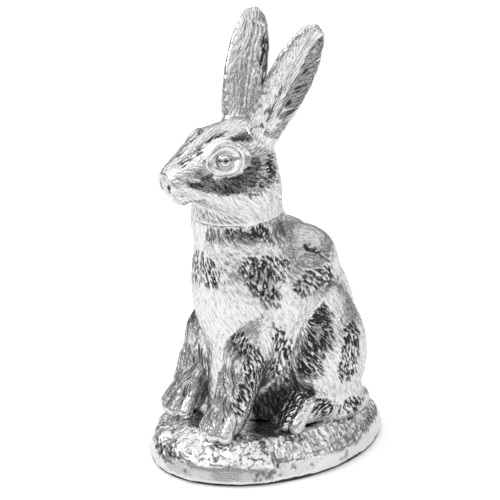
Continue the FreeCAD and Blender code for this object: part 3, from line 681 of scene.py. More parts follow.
def foreleg_flow(points):
    p = mirrored(points)
    outer = foreleg_outer(p)[:, None]
    lie = np.array((-0.05, -0.45, -0.9)) * (1 - outer) + np.array((0.2, 0.45, -0.85)) * outer
    return unmirror(points, lie)


def haunch_flow(points):
    p = mirrored(points)
    front = 1 - ease(p[:, 1], 4, 22)[:, None]
    lie = np.array((0, 0.15, -1)) * (1 - front) + np.array((0.2, 0.75, -0.75)) * front
    return unmirror(points, swirl(points, lie, 13, 0.5))


def foot_flow(points):
    return even(points, (0, -1, -0.35))


def tail_flow(points):
    return even(points, (0, 0.3, 1))


def ground_flow(points):
    x, y, z = points.T
    return np.stack((x / GROUND_HALF[0], y / GROUND_HALF[1], -0.4 + 0 * z), axis=1)


def rods(node, *rows):
    """Tapered rods in a node's box: shares of it for the start and the end, then the radius at each."""
    return [(at(node, *row[:3]), at(node, *row[3:6]), *row[6:]) for row in rows]


# Painted shade and painted dark reflections, on the left side: patches that stay dark all over, set where
# shade falls between parts and where smooth metal reflects a dark room.
SHADE_AND_REFLECTION_PATCHES = {
    "head": rods(
        "head",
        (0.74, 0.12, 0.55, 0.84, 0.29, 0.52, 2.0, 4.2),
        (0.84, 0.29, 0.52, 0.93, 0.45, 0.51, 4.2, 5.6),
        (0.93, 0.45, 0.51, 0.98, 0.62, 0.56, 5.6, 7.2),
        (0.98, 0.62, 0.56, 0.97, 0.62, 0.69, 5.0, 3.2),
        (0.71, 0.15, 0.61, 0.81, 0.25, 0.59, 2.2, 3.4),
        (0.74, 0.19, 0.64, 0.73, 0.27, 0.73, 1.6, 2.0),
        (0.59, 0.19, 0.73, 0.68, 0.36, 0.84, 0.8, 1.5),
        (0.76, 0.42, 0.85, 0.82, 0.65, 0.92, 2.3, 4.0),
        (0.82, 0.67, 0.93, 0.92, 0.77, 0.91, 2.6, 3.4),
        (0.58, 0.00, 0.52, 0.57, 0.02, 0.47, 1.0, 0.9),
    ),
    "torso": rods(
        "torso",
        (0.90, 0.39, 0.21, 0.81, 0.29, 0.06, 7.0, 9.0),
        (0.96, 0.43, 0.40, 0.94, 0.39, 0.27, 1.6, 4.0),
        (0.62, 0.11, 0.24, 0.62, 0.07, 0.07, 3.5, 3.5),
    ),
    "foreleg": rods(
        "left_foreleg",
        (0.56, 0.51, 0.89, 0.66, 0.48, 0.73, 1.8, 2.6),
        (0.02, 0.56, 0.66, 0.02, 0.36, 0.23, 1.4, 2.0),
    ),
    "haunch": rods(
        "left_haunch",
        (0.67, 0.19, 0.80, 0.76, 0.17, 0.62, 2.2, 3.6),
        (0.23, -0.00, 0.45, 0.50, 0.05, 0.31, 5.0, 7.0),
    ),
    "hind_foot": rods(
        "left_hind_foot",
        (0.09, 0.36, 0.68, 0.04, 0.12, 0.23, 3.0, 3.0),
    ),
    "ear": rods(
        "left_ear",
        (0.49, 0.39, 0.20, 0.56, 0.66, 0.43, 2.2, 4.4),
        (0.56, 0.66, 0.43, 0.70, 0.82, 0.61, 4.4, 3.6),
        (0.70, 0.82, 0.61, 0.85, 0.89, 0.83, 3.6, 1.6),
    ),
    "tail": [],
}

# Round these, only the strokes are dark.
TARNISH = {
    "head": rods(
        "head",
        (0.96, 0.56, 0.45, 0.96, 0.74, 0.60, 3.0, 5.0),
        (0.59, 0.10, 0.66, 0.66, 0.42, 0.88, 1.6, 2.6),
    ),
    "torso": rods(
        "torso",
        (0.87, 0.53, 0.83, 0.85, 0.63, 0.77, 2.0, 3.4),
        (0.74, 0.10, 0.96, 0.84, 0.25, 0.96, 3.0, 3.6),
        (0.53, 0.02, 0.79, 0.62, 0.03, 0.74, 7.0, 5.0),
        (0.85, 0.19, 0.79, 0.91, 0.31, 0.79, 6.5, 6.0),
        (0.87, 0.21, 0.72, 0.93, 0.28, 0.66, 5.0, 4.0),
        (0.96, 0.45, 0.69, 0.92, 0.63, 0.70, 5.5, 6.0),
        (0.88, 0.27, 0.48, 0.94, 0.37, 0.29, 8.0, 9.0),
    ),
    "foreleg": rods(
        "left_foreleg",
        (0.59, 0.54, 0.89, 0.92, 0.64, 0.66, 5.0, 6.5),
        (0.92, 0.64, 0.66, 0.90, 0.40, 0.33, 5.0, 4.5),
    ),
    "haunch": rods(
        "left_haunch",
        (0.45, 0.27, 0.93, 0.72, 0.19, 0.76, 4.0, 6.5),
        (0.72, 0.19, 0.76, 0.65, 0.07, 0.51, 6.5, 6.0),
        (0.93, 0.57, 0.74, 1.00, 0.49, 0.46, 5.5, 6.5),
        (0.58, 0.23, 0.17, 0.67, 0.68, 0.11, 5.0, 5.0),
    ),
    "hind_foot": rods(
        "left_hind_foot",
        (0.57, 0.41, 0.68, 0.78, 0.59, 0.68, 7.0, 7.0),
        (0.41, 0.18, 1.03, 0.41, -0.06, 0.57, 8.0, 6.0),
    ),
    "ear": rods(
        "left_ear",
        (0.34, 0.18, 0.23, 0.51, 0.34, 0.48, 3.0, 2.4),
        (0.22, 0.77, 0.38, 0.51, 0.88, 0.72, 3.2, 3.0),
    ),
    "tail": rods(
        "tail",
        (0.50, 0.80, 0.54, 0.50, 0.80, 0.70, 9.0, 9.0),
    ),
}


def zone_share(rods, points):
    """1 inside the rods and 0 outside, with a ragged edge."""
    p = mirrored(points)
    share = np.zeros(len(p))
    ragged = (noise(points, 3.2, 4) - 0.5) * 3.0 + (noise(points, 0.9, 5) - 0.5) * 1.6
    for start, end, start_radius, end_radius in rods:
        share = np.maximum(share, 1 - ease(limb(p, start, end, start_radius, end_radius) + ragged, -1.2, 1.2))
    return share


# ---- materials -----------------------------------------------------------------------------------


def feed(tree, socket, value):
    """Links a socket to another one, or gives it a value."""
    if isinstance(value, bpy.types.NodeSocket):
        tree.links.new(value, socket)
    else:
        socket.default_value = value


def add_node(tree, kind, links=None, **settings):
    node = tree.nodes.new(kind)
    for key, value in settings.items():
        setattr(node, key, value)
    for socket, value in (links or {}).items():
        feed(tree, node.inputs[socket], value)
    return node


def mix_colours(tree, share, first, second):
    return add_node(tree, "ShaderNodeMix", {0: share, 6: first, 7: second}, data_type="RGBA").outputs[2]


class Nodes:
    """A material's node tree, built one node at a time."""

    def __init__(self, name):
        self.material = bpy.data.materials.new(name)
        self.material.use_nodes = True
        self.tree = self.material.node_tree
        self.shader = self.tree.nodes["Principled BSDF"]

    def add(self, kind, links=None, **settings):
        return add_node(self.tree, kind, links, **settings)

    def place(self, stretch=(1, 1, 1)):
        """Object coordinates in millimetres, stretched."""
        source = self.add("ShaderNodeTexCoord").outputs["Object"]
        scale = [MM * s for s in stretch]
        return self.add("ShaderNodeMapping", {"Vector": source, "Scale": scale}).outputs["Vector"]

    def noise(self, place, scale, detail=3.0, rough=0.5):
        links = {"Vector": place, "Scale": scale, "Detail": detail, "Roughness": rough}
        return self.add("ShaderNodeTexNoise", links).outputs["Fac"]

    def spread(self, value, low, high, start=0.0, end=1.0):
        links = {"Value": value, "From Min": low, "From Max": high, "To Min": start, "To Max": end}
        return self.add("ShaderNodeMapRange", links).outputs["Result"]

    def math(self, operation, first, second):
        return self.add("ShaderNodeMath", {0: first, 1: second}, operation=operation).outputs[0]

    def mix(self, share, first, second):
        return mix_colours(self.tree, share, first, second)

    def value(self, name):
        return self.add("ShaderNodeAttribute", attribute_name=name).outputs["Fac"]

    def bump(self, height, strength, distance):
        links = {"Height": height, "Strength": strength, "Distance": distance}
        return self.add("ShaderNodeBump", links).outputs["Normal"]

    def shade(self, **inputs):
        for name, value in inputs.items():
            feed(self.tree, self.shader.inputs[name.replace("_", " ").title()], value)
        return self.material


def opaque(colour):
    return (*colour, 1.0)


def antique_silver(settings):
    """Bright plated casting metal: hand-polished high spots over dark patina and painted shade, with fine
    tool grain.
    """
    if "Antique silver" in bpy.data.materials:
        return bpy.data.materials["Antique silver"]
    n = Nodes("Antique silver")
    grit = n.noise(n.place(), 1.3, 4.0, 0.65)
    cloud = n.noise(n.place(), 0.09, 3.0)
    # This channel holds the patina in the cuts and hollows, and painted shade and painted dark reflections in
    # set patches.
    patina = n.value("patina")
    ragged = n.math("ADD", patina, n.spread(grit, 0.35, 0.75, -0.12, 0.16))
    dark = n.spread(ragged, 0.10, 0.72)
    bright = n.mix(cloud, opaque(settings.silver), opaque([c * 0.86 for c in settings.silver]))
    colour = n.mix(dark, bright, opaque(settings.patina))
    rough = n.spread(dark, 0.0, 1.0, settings.polish, 0.42)
    rough = n.math("ADD", rough, n.spread(cloud, 0.3, 0.7, -0.04, 0.07))
    bump = n.bump(grit, 0.45, 0.00030)
    return n.shade(base_color=colour, metallic=1.0, roughness=rough, normal=bump)


def polished_silver(settings):
    if "Polished silver" in bpy.data.materials:
        return bpy.data.materials["Polished silver"]
    n = Nodes("Polished silver")
    cloud = n.noise(n.place(), 0.5, 3.0)
    colour = n.mix(cloud, opaque(settings.silver), opaque([c * 0.8 for c in settings.silver]))
    patina = n.value("patina")
    colour = n.mix(patina, colour, opaque(settings.patina))
    rough = n.spread(cloud, 0.3, 0.7, 0.05, 0.12)
    return n.shade(base_color=colour, metallic=1.0, roughness=rough, normal=n.bump(cloud, 0.1, 0.0002))


def steel(name, colour, lines):
    """Plain steel with rolled or turned lines."""
    n = Nodes(name)
    streaks = n.noise(n.place(lines), 2.0, 5.0, 0.7)
    tone = n.mix(streaks, opaque(colour), opaque([c * 0.7 for c in colour]))
    rough = n.spread(streaks, 0.3, 0.7, 0.28, 0.46)
    return n.shade(base_color=tone, metallic=1.0, roughness=rough, normal=n.bump(streaks, 0.2, 0.0001))


def felt_cloth(settings):
    n = Nodes("Black felt")
    fibres = n.noise(n.place(), 2.2, 6.0, 0.8)
    matted = n.noise(n.place(), 0.25, 3.0)
    tone = n.mix(fibres, opaque(settings.felt), opaque([c * 2.6 for c in settings.felt]))
    tone = n.mix(n.spread(matted, 0.3, 0.7, 0.0, 0.4), tone, opaque([c * 0.6 for c in settings.felt]))
    material = n.shade(base_color=tone, metallic=0.0, roughness=0.95, normal=n.bump(fibres, 0.8, 0.0005))
    n.shader.inputs["Sheen Weight"].default_value = 0.4
    return material


# ---- pieces --------------------------------------------------------------------------------------

# Each form: how its fur lies, its voxel in millimetres, and the spacing of its fine strokes and dashes.
CASTINGS = {
    "torso": (torso_flow, 1.40, 2.0),
    "head": (head_flow, 0.85, 1.55),
    "ear": (ear_flow, 0.70, 1.7),
    "foreleg": (foreleg_flow, 0.75, 1.8),
    "haunch": (haunch_flow, 0.85, 1.9),
    "hind_foot": (foot_flow, 0.65, 1.8),
    "tail": (tail_flow, 0.8, 1.8),
}

MESH_ROOM, MORE_ROOM = 4.0, 6  # room round a node's box in which its casting is meshed
GROUND_VOXEL = 1.42

# Tools: length, width and depth of a stroke in millimetres, and its ink.
FINE = (5.5, 0.42, 0.44, 0.46)
DASH = (3.8, 0.62, 0.75, 0.95)
RIB = (10.0, 0.58, 0.95, 0.90)
GROUND_RIB = (6.0, 0.75, 0.9, 0.5)
CRACK = (3.6, 0.42, 0.6, 0.62)

# Rows of ribs: rods they start in, and their spacing.
RIBS = {
    "torso": (rods(
        "torso",
        (0.65, 0.03, 0.97, 0.79, 0.13, 0.97, 3.5, 3.5),
        (0.79, 0.13, 0.97, 0.82, 0.36, 0.97, 3.5, 3.5),
    ), 2.4),
    "haunch": (rods(
        "left_haunch",
        (0.37, 0.21, 0.94, 0.58, 0.11, 0.76, 4.0, 4.0),
        (0.58, 0.11, 0.76, 0.50, 0.01, 0.48, 4.0, 4.0),
    ), 2.6),
    "foreleg": (rods(
        "left_foreleg",
        (0.43, 0.52, 0.89, 0.43, 0.40, 0.60, 6.0, 7.0),
        (0.43, 0.40, 0.60, 0.43, 0.23, 0.30, 8.0, 8.0),
    ), 4.4),
    "ear": (rods(
        "left_ear",
        (0.49, 0.39, 0.20, 0.56, 0.66, 0.43, 3.0, 4.4),
        (0.56, 0.66, 0.43, 0.85, 0.89, 0.83, 4.4, 2.0),
    ), 2.4),
}


def stroke_share(form, points):
    """Where a form is chased: 1 in full, 0 left smooth."""
    p = mirrored(points)
    share = np.ones(len(p))
    if form == "head":
        share *= 0.35 + 0.65 * ease(p[:, 2], NECK + 8, NECK + 15)
        share *= ease(p[:, 2], NECK + 2, NECK + 5)
        u, v, _ = eye_place(p).T
        share *= ease(np.hypot(u / 14, (v - 1.5) / 11), 0.9, 1.1)
        share *= 0.3 + 0.7 * ease(p[:, 1], -62, -55)
    if form == "foreleg":
        share *= 0.6 * ease(p[:, 2], 28, 34)
    return share


def valleys(piece, places, normals, rounds=5):
    """How far each vertex lies below its smoothed surroundings."""
    ends = np.empty(len(piece.data.edges) * 2, np.int32)
    piece.data.edges.foreach_get("vertices", ends)
    one, two = ends[::2], ends[1::2]
    ties = np.bincount(ends, minlength=len(places))[:, None]
    smooth = places
    for _ in range(rounds):
        total = np.zeros_like(smooth)
        for axis in range(3):
            total[:, axis] = np.bincount(one, smooth[two, axis], len(places))
            total[:, axis] += np.bincount(two, smooth[one, axis], len(places))
        smooth = total / ties
    return np.sum((smooth - places) * normals, axis=1)


def chase(piece, form, flow, spacing, settings):
    """Cuts the fur into a casting and records its patina, with painted shade and painted dark reflections in
    set patches.
    """
    places, normals = read(piece)
    random = np.random.default_rng(sum(map(ord, piece.name)))
    parts, whole = hare(places)
    on_skin = (np.abs(whole) < 0.4) & (own_share(form, parts, places) < OVERLAP)
    tarnish = zone_share(TARNISH[form], places)
    painted_shade_patch = zone_share(SHADE_AND_REFLECTION_PATCHES[form], places)
    chased = stroke_share(form, places)
    spacing *= settings.stroke_spacing
    passes = [(FINE, spacing * 1.25, chased * 0.9), (DASH, spacing * 1.15, chased * tarnish)]
    if form in RIBS:
        rods, gap = RIBS[form]
        passes.append((RIB, gap, (zone_share(rods, places) > 0.5) * 1.0))
    strokes = []
    for tool, gap, share in passes:
        length, width, depth, ink = tool
        tool = (length * settings.stroke_length, width, depth * settings.stroke_depth, ink)
        seeds = spread_seeds(places, on_skin & (random.random(len(places)) < share), gap, random)
        strokes.append(draw_strokes(lambda points: hare(points)[1], seeds, flow, tool, random))
    low_places = valleys(piece, places, normals)
    cut, ink = stroke_marks(places, np.concatenate(strokes))
    waves = (noise(places, 6.5, 11) - 0.5) * 0.5 + (noise(places, 2.2, 12) - 0.5) * 0.35
    waves *= 0.3 + 0.7 * chased
    write(piece, places + normals * ((waves - cut) * np.clip(1 - np.abs(whole), 0, 1))[:, None])
    ink = ink * (0.75 + 0.25 * tarnish) + 0.9 * ease(low_places, 0.06, 0.24)
    # In the patches the colour is painted shade and painted dark reflections: dark all over, with the ink of
    # the cuts kept.
    cloud = 0.70 + 0.16 * noise(places, 4, 13)
    write_values(piece, "patina", np.clip(ink * (1 - painted_shade_patch) + cloud * (1 - 0.75 * ink) * painted_shade_patch, 0, 1))


def finish_piece(piece, material, slot, *nodes):
    """Gives a piece its one material, hangs it from the root body, and hides the frame parts that it stands
    for.
    """
    piece.data.materials.clear()
    piece.data.materials.append(material)
    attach(piece, "root")
    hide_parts(*nodes)
    return piece


def make_casting(settings, node):
    """One casting of the hare, meshed past its CAD box where its toes and haunch reach out."""
    form = node.removeprefix("left_").removeprefix("right_")
    flow, voxel, spacing = CASTINGS[form]
    low, high = BOX[node][0] - MESH_ROOM, BOX[node][1] + MESH_ROOM
    if form in ("foreleg", "haunch", "hind_foot"):
        low, high = low - (MORE_ROOM, MORE_ROOM, 0), high + (0, MORE_ROOM, MORE_ROOM)
        if node.startswith("right"):
            high[0] += MORE_ROOM
    points, quads = cast_mesh(casting_field(form), low, high, voxel * settings.mesh_size)
    piece = refine(new_mesh(f"{node}_chased", points, quads.tolist()))
    chase(piece, form, flow, spacing, settings)
    return finish_piece(piece, antique_silver(settings), "antique_silver", node)


def make_eye(settings, side):
    """A polished ball with an engraved iris and pupil."""
    node = f"{side}_eye"
    along, up, out = eye_axes()
    mirror = np.array((1 if side == "left" else -1, 1, 1))
    shaper = bmesh.new()
    bmesh.ops.create_uvsphere(shaper, u_segments=72, v_segments=48, radius=1)
    places = np.array([v.co[:] for v in shaper.verts])
    faces = [[v.index for v in f.verts] for f in shaper.faces]
    shaper.free()
    angle = np.degrees(np.arccos(np.clip(places[:, 2], -1, 1)))
    iris = np.exp(-np.square((angle - 40) / 3.5))
    pupil = 1 - ease(angle, 12, 19)
    radius = EYE_RADIUS - 0.22 * iris - 0.45 * pupil
    spun = places[:, :1] * along + places[:, 1:2] * up + places[:, 2:] * out
    piece = new_mesh(f"{node}_ball", (EYE + spun * radius[:, None]) * mirror, faces)
    if side == "right":
        piece.data.flip_normals()
    write_values(piece, "patina", np.clip(iris + 0.75 * pupil, 0, 1))
    return finish_piece(piece, polished_silver(settings), "polished_silver", node)


# Dark places on the rim: at the front end, and low on each side.
RIM_DARK_PLACES = [
    (np.array((2.0, -69.0, 12.0)), np.array((9.0, -68.0, 11.0)), 4.0, 3.5),
    (np.array((44.0, -37.0, 5.5)), np.array((48.5, -27.0, 7.5)), 3.4, 3.4),
]


def make_ground(settings):
    """The plinth's casting, with ribs and cracks cut in its mound and chips out of its rim."""
    low, high = GROUND_LOW - 2, GROUND_HIGH + 3
    points, quads = cast_mesh(ground_field, low, high, GROUND_VOXEL * settings.mesh_size)
    piece = refine(new_mesh("plinth_ground", points, quads.tolist()))
    places, normals = read(piece)
    random = np.random.default_rng(41)
    reach = ground_reach(places)
    mound = (places[:, 2] > 11) & (normals[:, 2] > 0.15)
    ribs = mound & (reach > 0.74) & (reach < 0.93) & (places[:, 0] > 22) & (places[:, 1] > -28)
    cracks = mound & ~ribs

    def crack_flow(points):
        turn = noise(points, 5, 15) * 14
        return np.stack((np.cos(turn), np.sin(turn), np.zeros(len(points))), axis=1)

    rib_seeds = spread_seeds(places, ribs, 3.4, random)
    crack_seeds = spread_seeds(places, cracks & (random.random(len(places)) < 0.6), 2.6, random)
    rib_lines = draw_strokes(ground_field, rib_seeds, ground_flow, GROUND_RIB, random)
    crack_lines = draw_strokes(ground_field, crack_seeds, crack_flow, CRACK, random)
    cut, ink = stroke_marks(places, np.concatenate((rib_lines, crack_lines)))
    rim = ease(places[:, 2], 3, 5) * (1 - ease(places[:, 2], 10, 13))
    chips = 0.7 * ease(noise(places, 5.0, 21), 0.70, 0.86) * rim
    grain = (noise(places, 1.9, 22) - 0.5) * 0.5 * mound
    lift = grain - cut - 0.5 * chips
    outside = (places[:, 2] > 1.8) & (normals[:, 2] > -0.2) & (reach > 0.5)
    outside |= places[:, 2] > 18.5
    write(piece, places + normals * (lift * outside)[:, None])
    blotch = ease(noise(places, 9.0, 23), 0.56, 0.72)
    # The rim is darker at these places, broken up by noise.
    rim_darkening = 0.55 * zone_share(RIM_DARK_PLACES, places) * ease(noise(places, 1.6, 25), 0.35, 0.65)
    dull = mound * 0.42 * blotch * (1 - 0.6 * ease(reach, 0.7, 0.85))
    write_values(piece, "patina", np.clip(ink + rim_darkening + chips * 0.6 + dull, 0, 1))
    return finish_piece(piece, antique_silver(settings), "antique_silver", "plinth")


def stone_tree(material):
    """Nodes that scatter small stones over a surface, and the sockets for how many and how big."""
    tree = bpy.data.node_groups.new("Scattered stones", "GeometryNodeTree")
    tree.interface.new_socket("Geometry", in_out="INPUT", socket_type="NodeSocketGeometry")
    density = tree.interface.new_socket("Density", in_out="INPUT", socket_type="NodeSocketFloat")
    size = tree.interface.new_socket("Size", in_out="INPUT", socket_type="NodeSocketFloat")
    tree.interface.new_socket("Geometry", in_out="OUTPUT", socket_type="NodeSocketGeometry")
    start = add_node(tree, "NodeGroupInput").outputs
    surface = {"Mesh": start["Geometry"], "Density": start["Density"], "Seed": 12}
    scatter = add_node(tree, "GeometryNodeDistributePointsOnFaces", surface).outputs
    stone = add_node(tree, "GeometryNodeMeshIcoSphere", {"Radius": start["Size"]}).outputs["Mesh"]
    least, most = (0.7, 0.7, 0.5), (1.6, 1.3, 0.9)
    stretch = add_node(
        tree, "FunctionNodeRandomValue", {0: least, 1: most, "Seed": 5}, data_type="FLOAT_VECTOR"
    )
    links = {
        "Points": scatter["Points"],
        "Rotation": scatter["Rotation"],
        "Instance": stone,
        "Scale": stretch.outputs[0],
    }
    stones = add_node(tree, "GeometryNodeInstanceOnPoints", links).outputs["Instances"]
    solid = add_node(tree, "GeometryNodeRealizeInstances", {"Geometry": stones}).outputs["Geometry"]
    painted = add_node(tree, "GeometryNodeSetMaterial", {"Geometry": solid, "Material": material})
    add_node(tree, "NodeGroupOutput", {"Geometry": painted.outputs["Geometry"]})
    return tree, density.identifier, size.identifier


def make_stones(settings):
    """Small stones cast with the mound, half sunk in its outer slope."""
    ground = bpy.data.objects["plinth_ground"]
    places, normals = read(ground)
    reach = ground_reach(places)
    bedded = (places[:, 2] > 12) & (normals[:, 2] > 0.4) & (reach > 0.70) & (reach < 0.94)
    faces = [list(f.vertices) for f in ground.data.polygons if bedded[list(f.vertices)].all()]
    bed = new_mesh("stone_bed", places, faces)
    material = antique_silver(settings)
    tree, density, size = stone_tree(material)
    modifier = bed.modifiers.new("Stones", "NODES")
    modifier.node_group = tree
    modifier[density] = settings.stone_density
    modifier[size] = settings.stone_size
    made = bpy.data.meshes.new_from_object(bed.evaluated_get(bpy.context.evaluated_depsgraph_get()))
    bpy.data.objects.remove(bed)
    piece = add_object("plinth_stones", made)
    write_values(piece, "patina", 0.5 * ease(noise(read(piece)[0], 4, 24), 0.45, 0.7))
    return finish_piece(piece, material, "antique_silver", "plinth")


def make_felt(settings):
    """The felt pad, with a soft rounded edge and a matted surface."""
    low, high = BOX["felt_pad"]
    half = (high - low) / 2
    turns, rings = 240, 14
    profile = [(share, 0.0) for share in np.linspace(0.06, 0.97, rings)]
    profile += [(0.993, 0.12), (1.0, 0.5), (0.993, 0.88)]
    profile += [(share, 1.0) for share in np.linspace(0.97, 0.06, rings)]
    angles = np.arange(turns) * 2 * math.pi / turns
    rows = []
    for share, rise in profile:
        ring = np.stack((np.cos(angles) * half[0], np.sin(angles) * half[1], 0 * angles), axis=1) * share
        ring[:, 2] = low[2] + (high[2] - low[2]) * rise
        rows.append(ring)
    places = np.concatenate(rows + [np.array([[0, 0, low[2]], [0, 0, high[2]]])])
    fuzz = 1 - 0.006 * noise(places, 1.1, 31)
    places[:, :2] *= fuzz[:, None]
    faces = []
    for ring in range(len(profile) - 1):
        for turn in range(turns):
            after = (turn + 1) % turns
            start, end = ring * turns, (ring + 1) * turns
            faces.append((start + turn, start + after, end + after, end + turn))
    last = (len(profile) - 1) * turns
    for turn in range(turns):
        after = (turn + 1) % turns
        faces.append((len(places) - 2, after, turn))
        faces.append((len(places) - 1, last + turn, last + after))
    piece = new_mesh("felt_pad_cloth", places, faces)
    finish_piece(piece, felt_cloth(settings), "black_felt", "felt_pad")
    width, length = (2 * half / MM)[:2]
    return piece


def dress_fixings():
    """The screws, pins, washers and base plate keep their cast-frame shapes and get their own finishes."""
    zinc = steel("Zinc plated steel", (0.62, 0.63, 0.64), (1, 1, 12))
    rolled = steel("Rolled steel plate", (0.52, 0.53, 0.54), (9, 0.4, 1))
    for node in ("neck_pins", "torso_screws", "limb_screws", "washers", "base_plate_screws", "base_plate"):
        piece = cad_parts[node]
        material = rolled if node == "base_plate" else zinc
        piece.data.materials.clear()
        piece.data.materials.append(material)


# ---- stage ---------------------------------------------------------------------------------------


def make_floor():
    n = Nodes("Pale floor")
    tone = n.mix(n.noise(n.place(), 0.004, 2.0), (0.93, 0.93, 0.935, 1), (0.90, 0.90, 0.905, 1))
    material = n.shade(base_color=tone, roughness=0.32, emission_color=(1, 1, 1, 1), emission_strength=0.14)
    far = 6.0
    corners = [(-far, -far, 0), (far, -far, 0), (far, far, 0), (-far, far, 0)]
    mesh = bpy.data.meshes.new("floor")
    mesh.from_pydata(corners, [], [(0, 1, 2, 3)])
    floor = add_object("floor", mesh)
    mesh.materials.append(material)
    floor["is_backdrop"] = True


def make_world():
    """A plain pale backdrop. Its dim bands are seen in reflections only, and give the metal its contrast."""
    world = bpy.data.worlds.new("Soft white room")
    world.use_nodes = True
    bpy.context.scene.world = world
    tree = world.node_tree
    direction = add_node(tree, "ShaderNodeTexCoord").outputs["Generated"]
    height = add_node(tree, "ShaderNodeSeparateXYZ", {0: direction}).outputs["Z"]
    ramp = add_node(tree, "ShaderNodeValToRGB", {"Fac": height})
    levels = ((0.0, 0.45), (0.08, 0.10), (0.24, 0.22), (0.42, 1.0), (0.65, 0.90), (1.0, 0.68))
    while len(ramp.color_ramp.elements) < len(levels):
        ramp.color_ramp.elements.new(1.0)
    for element, (position, level) in zip(ramp.color_ramp.elements, levels):
        element.position = position
        element.color = (level, level, level * 1.01, 1)
    seen = add_node(tree, "ShaderNodeLightPath").outputs["Is Camera Ray"]
    backdrop = mix_colours(tree, seen, ramp.outputs["Color"], (0.95, 0.95, 0.95, 1))
    tree.links.new(backdrop, tree.nodes["Background"].inputs["Color"])


def make_lamp(name, place, size, power, aim):
    data = bpy.data.lights.new(name, "AREA")
    data.shape = "RECTANGLE"
    data.size, data.size_y = size
    data.energy = power
    lamp = add_object(name, data)
    lamp.location = place
    lamp.rotation_euler = (Vector(aim) - Vector(place)).to_track_quat("-Z", "Y").to_euler()


def make_sun():
    """Even light from above, so that the floor stays pale to the horizon."""
    data = bpy.data.lights.new("Overhead", "SUN")
    data.energy = 1.1
    data.angle = math.radians(100)
    sun = add_object("Overhead", data)
    sun.rotation_euler = (math.radians(8), math.radians(-6), 0)


def make_camera(settings):
    azimuth, elevation = settings.camera_azimuth, settings.camera_elevation
    towards = Vector(
        (
            math.sin(azimuth) * math.cos(elevation),
            -math.cos(azimuth) * math.cos(elevation),
            math.sin(elevation),
        )
    )
    right = Vector((math.cos(azimuth), math.sin(azimuth), 0))
    up = towards.cross(right)
    low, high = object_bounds()
    middle = Vector((0, 0, (high.z - low.z) * 0.48))
    aim = middle - right * settings.camera_right - up * settings.camera_up
    data = bpy.data.cameras.new("camera")
    data.sensor_width = 36.0
    data.lens = settings.camera_lens
    camera = add_object("camera", data)
    camera.location = aim + towards * settings.camera_distance
    camera.rotation_euler = towards.to_track_quat("Z", "Y").to_euler()
    bpy.context.scene.camera = camera


# ---- add-on --------------------------------------------------------------------------------------


class HareSettings(PropertyGroup):
    """Sizes and colours that a user may change."""

    mesh_size: FloatProperty(
        name="Mesh size", description="Coarser above 1, finer below", default=1.0, min=0.5, max=3.0
    )
    stroke_length: FloatProperty(
        name="Stroke length", description="Share of the usual length of a chased stroke", default=1.0
    )
    stroke_depth: FloatProperty(
        name="Stroke depth", description="Share of the usual depth of a chased stroke", default=1.0
    )
    stroke_spacing: FloatProperty(
        name="Stroke spacing", description="Share of the usual gap between strokes", default=1.0
    )
    stone_density: FloatProperty(
        name="Stone density", description="Stones in a square metre", default=42000.0
    )
    stone_size: FloatProperty(
        name="Stone size", description="Radius of a small stone on the mound", unit="LENGTH", default=0.0011
    )
    silver: FloatVectorProperty(
        name="Silver", description="Colour of the polished metal", subtype="COLOR", default=(0.73, 0.73, 0.74)
    )
    patina: FloatVectorProperty(
        name="Patina", description="Colour left in the cuts", subtype="COLOR", default=(0.030, 0.031, 0.034)
    )
    polish: FloatProperty(
        name="Polish", description="Roughness of the polished metal", default=0.15, min=0.02, max=1.0
    )
    felt: FloatVectorProperty(
        name="Felt", description="Colour of the felt pad", subtype="COLOR", default=(0.018, 0.018, 0.020)
    )
    camera_azimuth: FloatProperty(
        name="Azimuth",
        description="Camera's direction round the hare",
        subtype="ANGLE",
        default=math.radians(55),
    )
    camera_elevation: FloatProperty(
        name="Elevation", description="Camera above the horizon", subtype="ANGLE", default=math.radians(20)
    )
    camera_distance: FloatProperty(
        name="Distance", description="Camera to the hare", unit="LENGTH", default=0.9
    )
    camera_lens: FloatProperty(name="Lens", description="Focal length in millimetres", default=120.0)
    camera_right: FloatProperty(
        name="Right", description="The hare's place right of the middle", unit="LENGTH", default=0.0097
    )
    camera_up: FloatProperty(
        name="Up", description="The hare's place above the middle", unit="LENGTH", default=0.0023
    )


class PieceOperator:
    """What every operator of the ornament shares."""

    bl_options = {"REGISTER", "UNDO"}

    def execute(self, context):
        self.build(context.scene.hare)
        return {"FINISHED"}

    def build(self, settings):
        for node in self.nodes:
            make_casting(settings, node)


class HARE_OT_torso(PieceOperator, Operator):
    """Cast and chase the hollow body"""

    bl_idname = "hare.torso"
    bl_label = "Torso"
    nodes = ("torso",)


class HARE_OT_head(PieceOperator, Operator):
    """Cast and chase the head, with its lids, nose and mouth"""

    bl_idname = "hare.head"
    bl_label = "Head"
    nodes = ("head",)


class HARE_OT_ears(PieceOperator, Operator):
    """Cast and chase both ears"""

    bl_idname = "hare.ears"
    bl_label = "Ears"
    nodes = ("left_ear", "right_ear")


class HARE_OT_eyes(PieceOperator, Operator):
    """Turn and polish both eyes"""

    bl_idname = "hare.eyes"
    bl_label = "Eyes"

    def build(self, settings):
        make_eye(settings, "left")
        make_eye(settings, "right")


class HARE_OT_forelegs(PieceOperator, Operator):
    """Cast and chase both forelegs, with their toes"""

    bl_idname = "hare.forelegs"
    bl_label = "Forelegs"
    nodes = ("left_foreleg", "right_foreleg")


class HARE_OT_haunches(PieceOperator, Operator):
    """Cast and chase both haunches"""

    bl_idname = "hare.haunches"
    bl_label = "Haunches"
    nodes = ("left_haunch", "right_haunch")


class HARE_OT_hind_feet(PieceOperator, Operator):
    """Cast and chase both hind feet, with their toes"""

    bl_idname = "hare.hind_feet"
    bl_label = "Hind feet"
    nodes = ("left_hind_foot", "right_hind_foot")


class HARE_OT_tail(PieceOperator, Operator):
    """Cast and chase the tail"""

    bl_idname = "hare.tail"
    bl_label = "Tail"
    nodes = ("tail",)


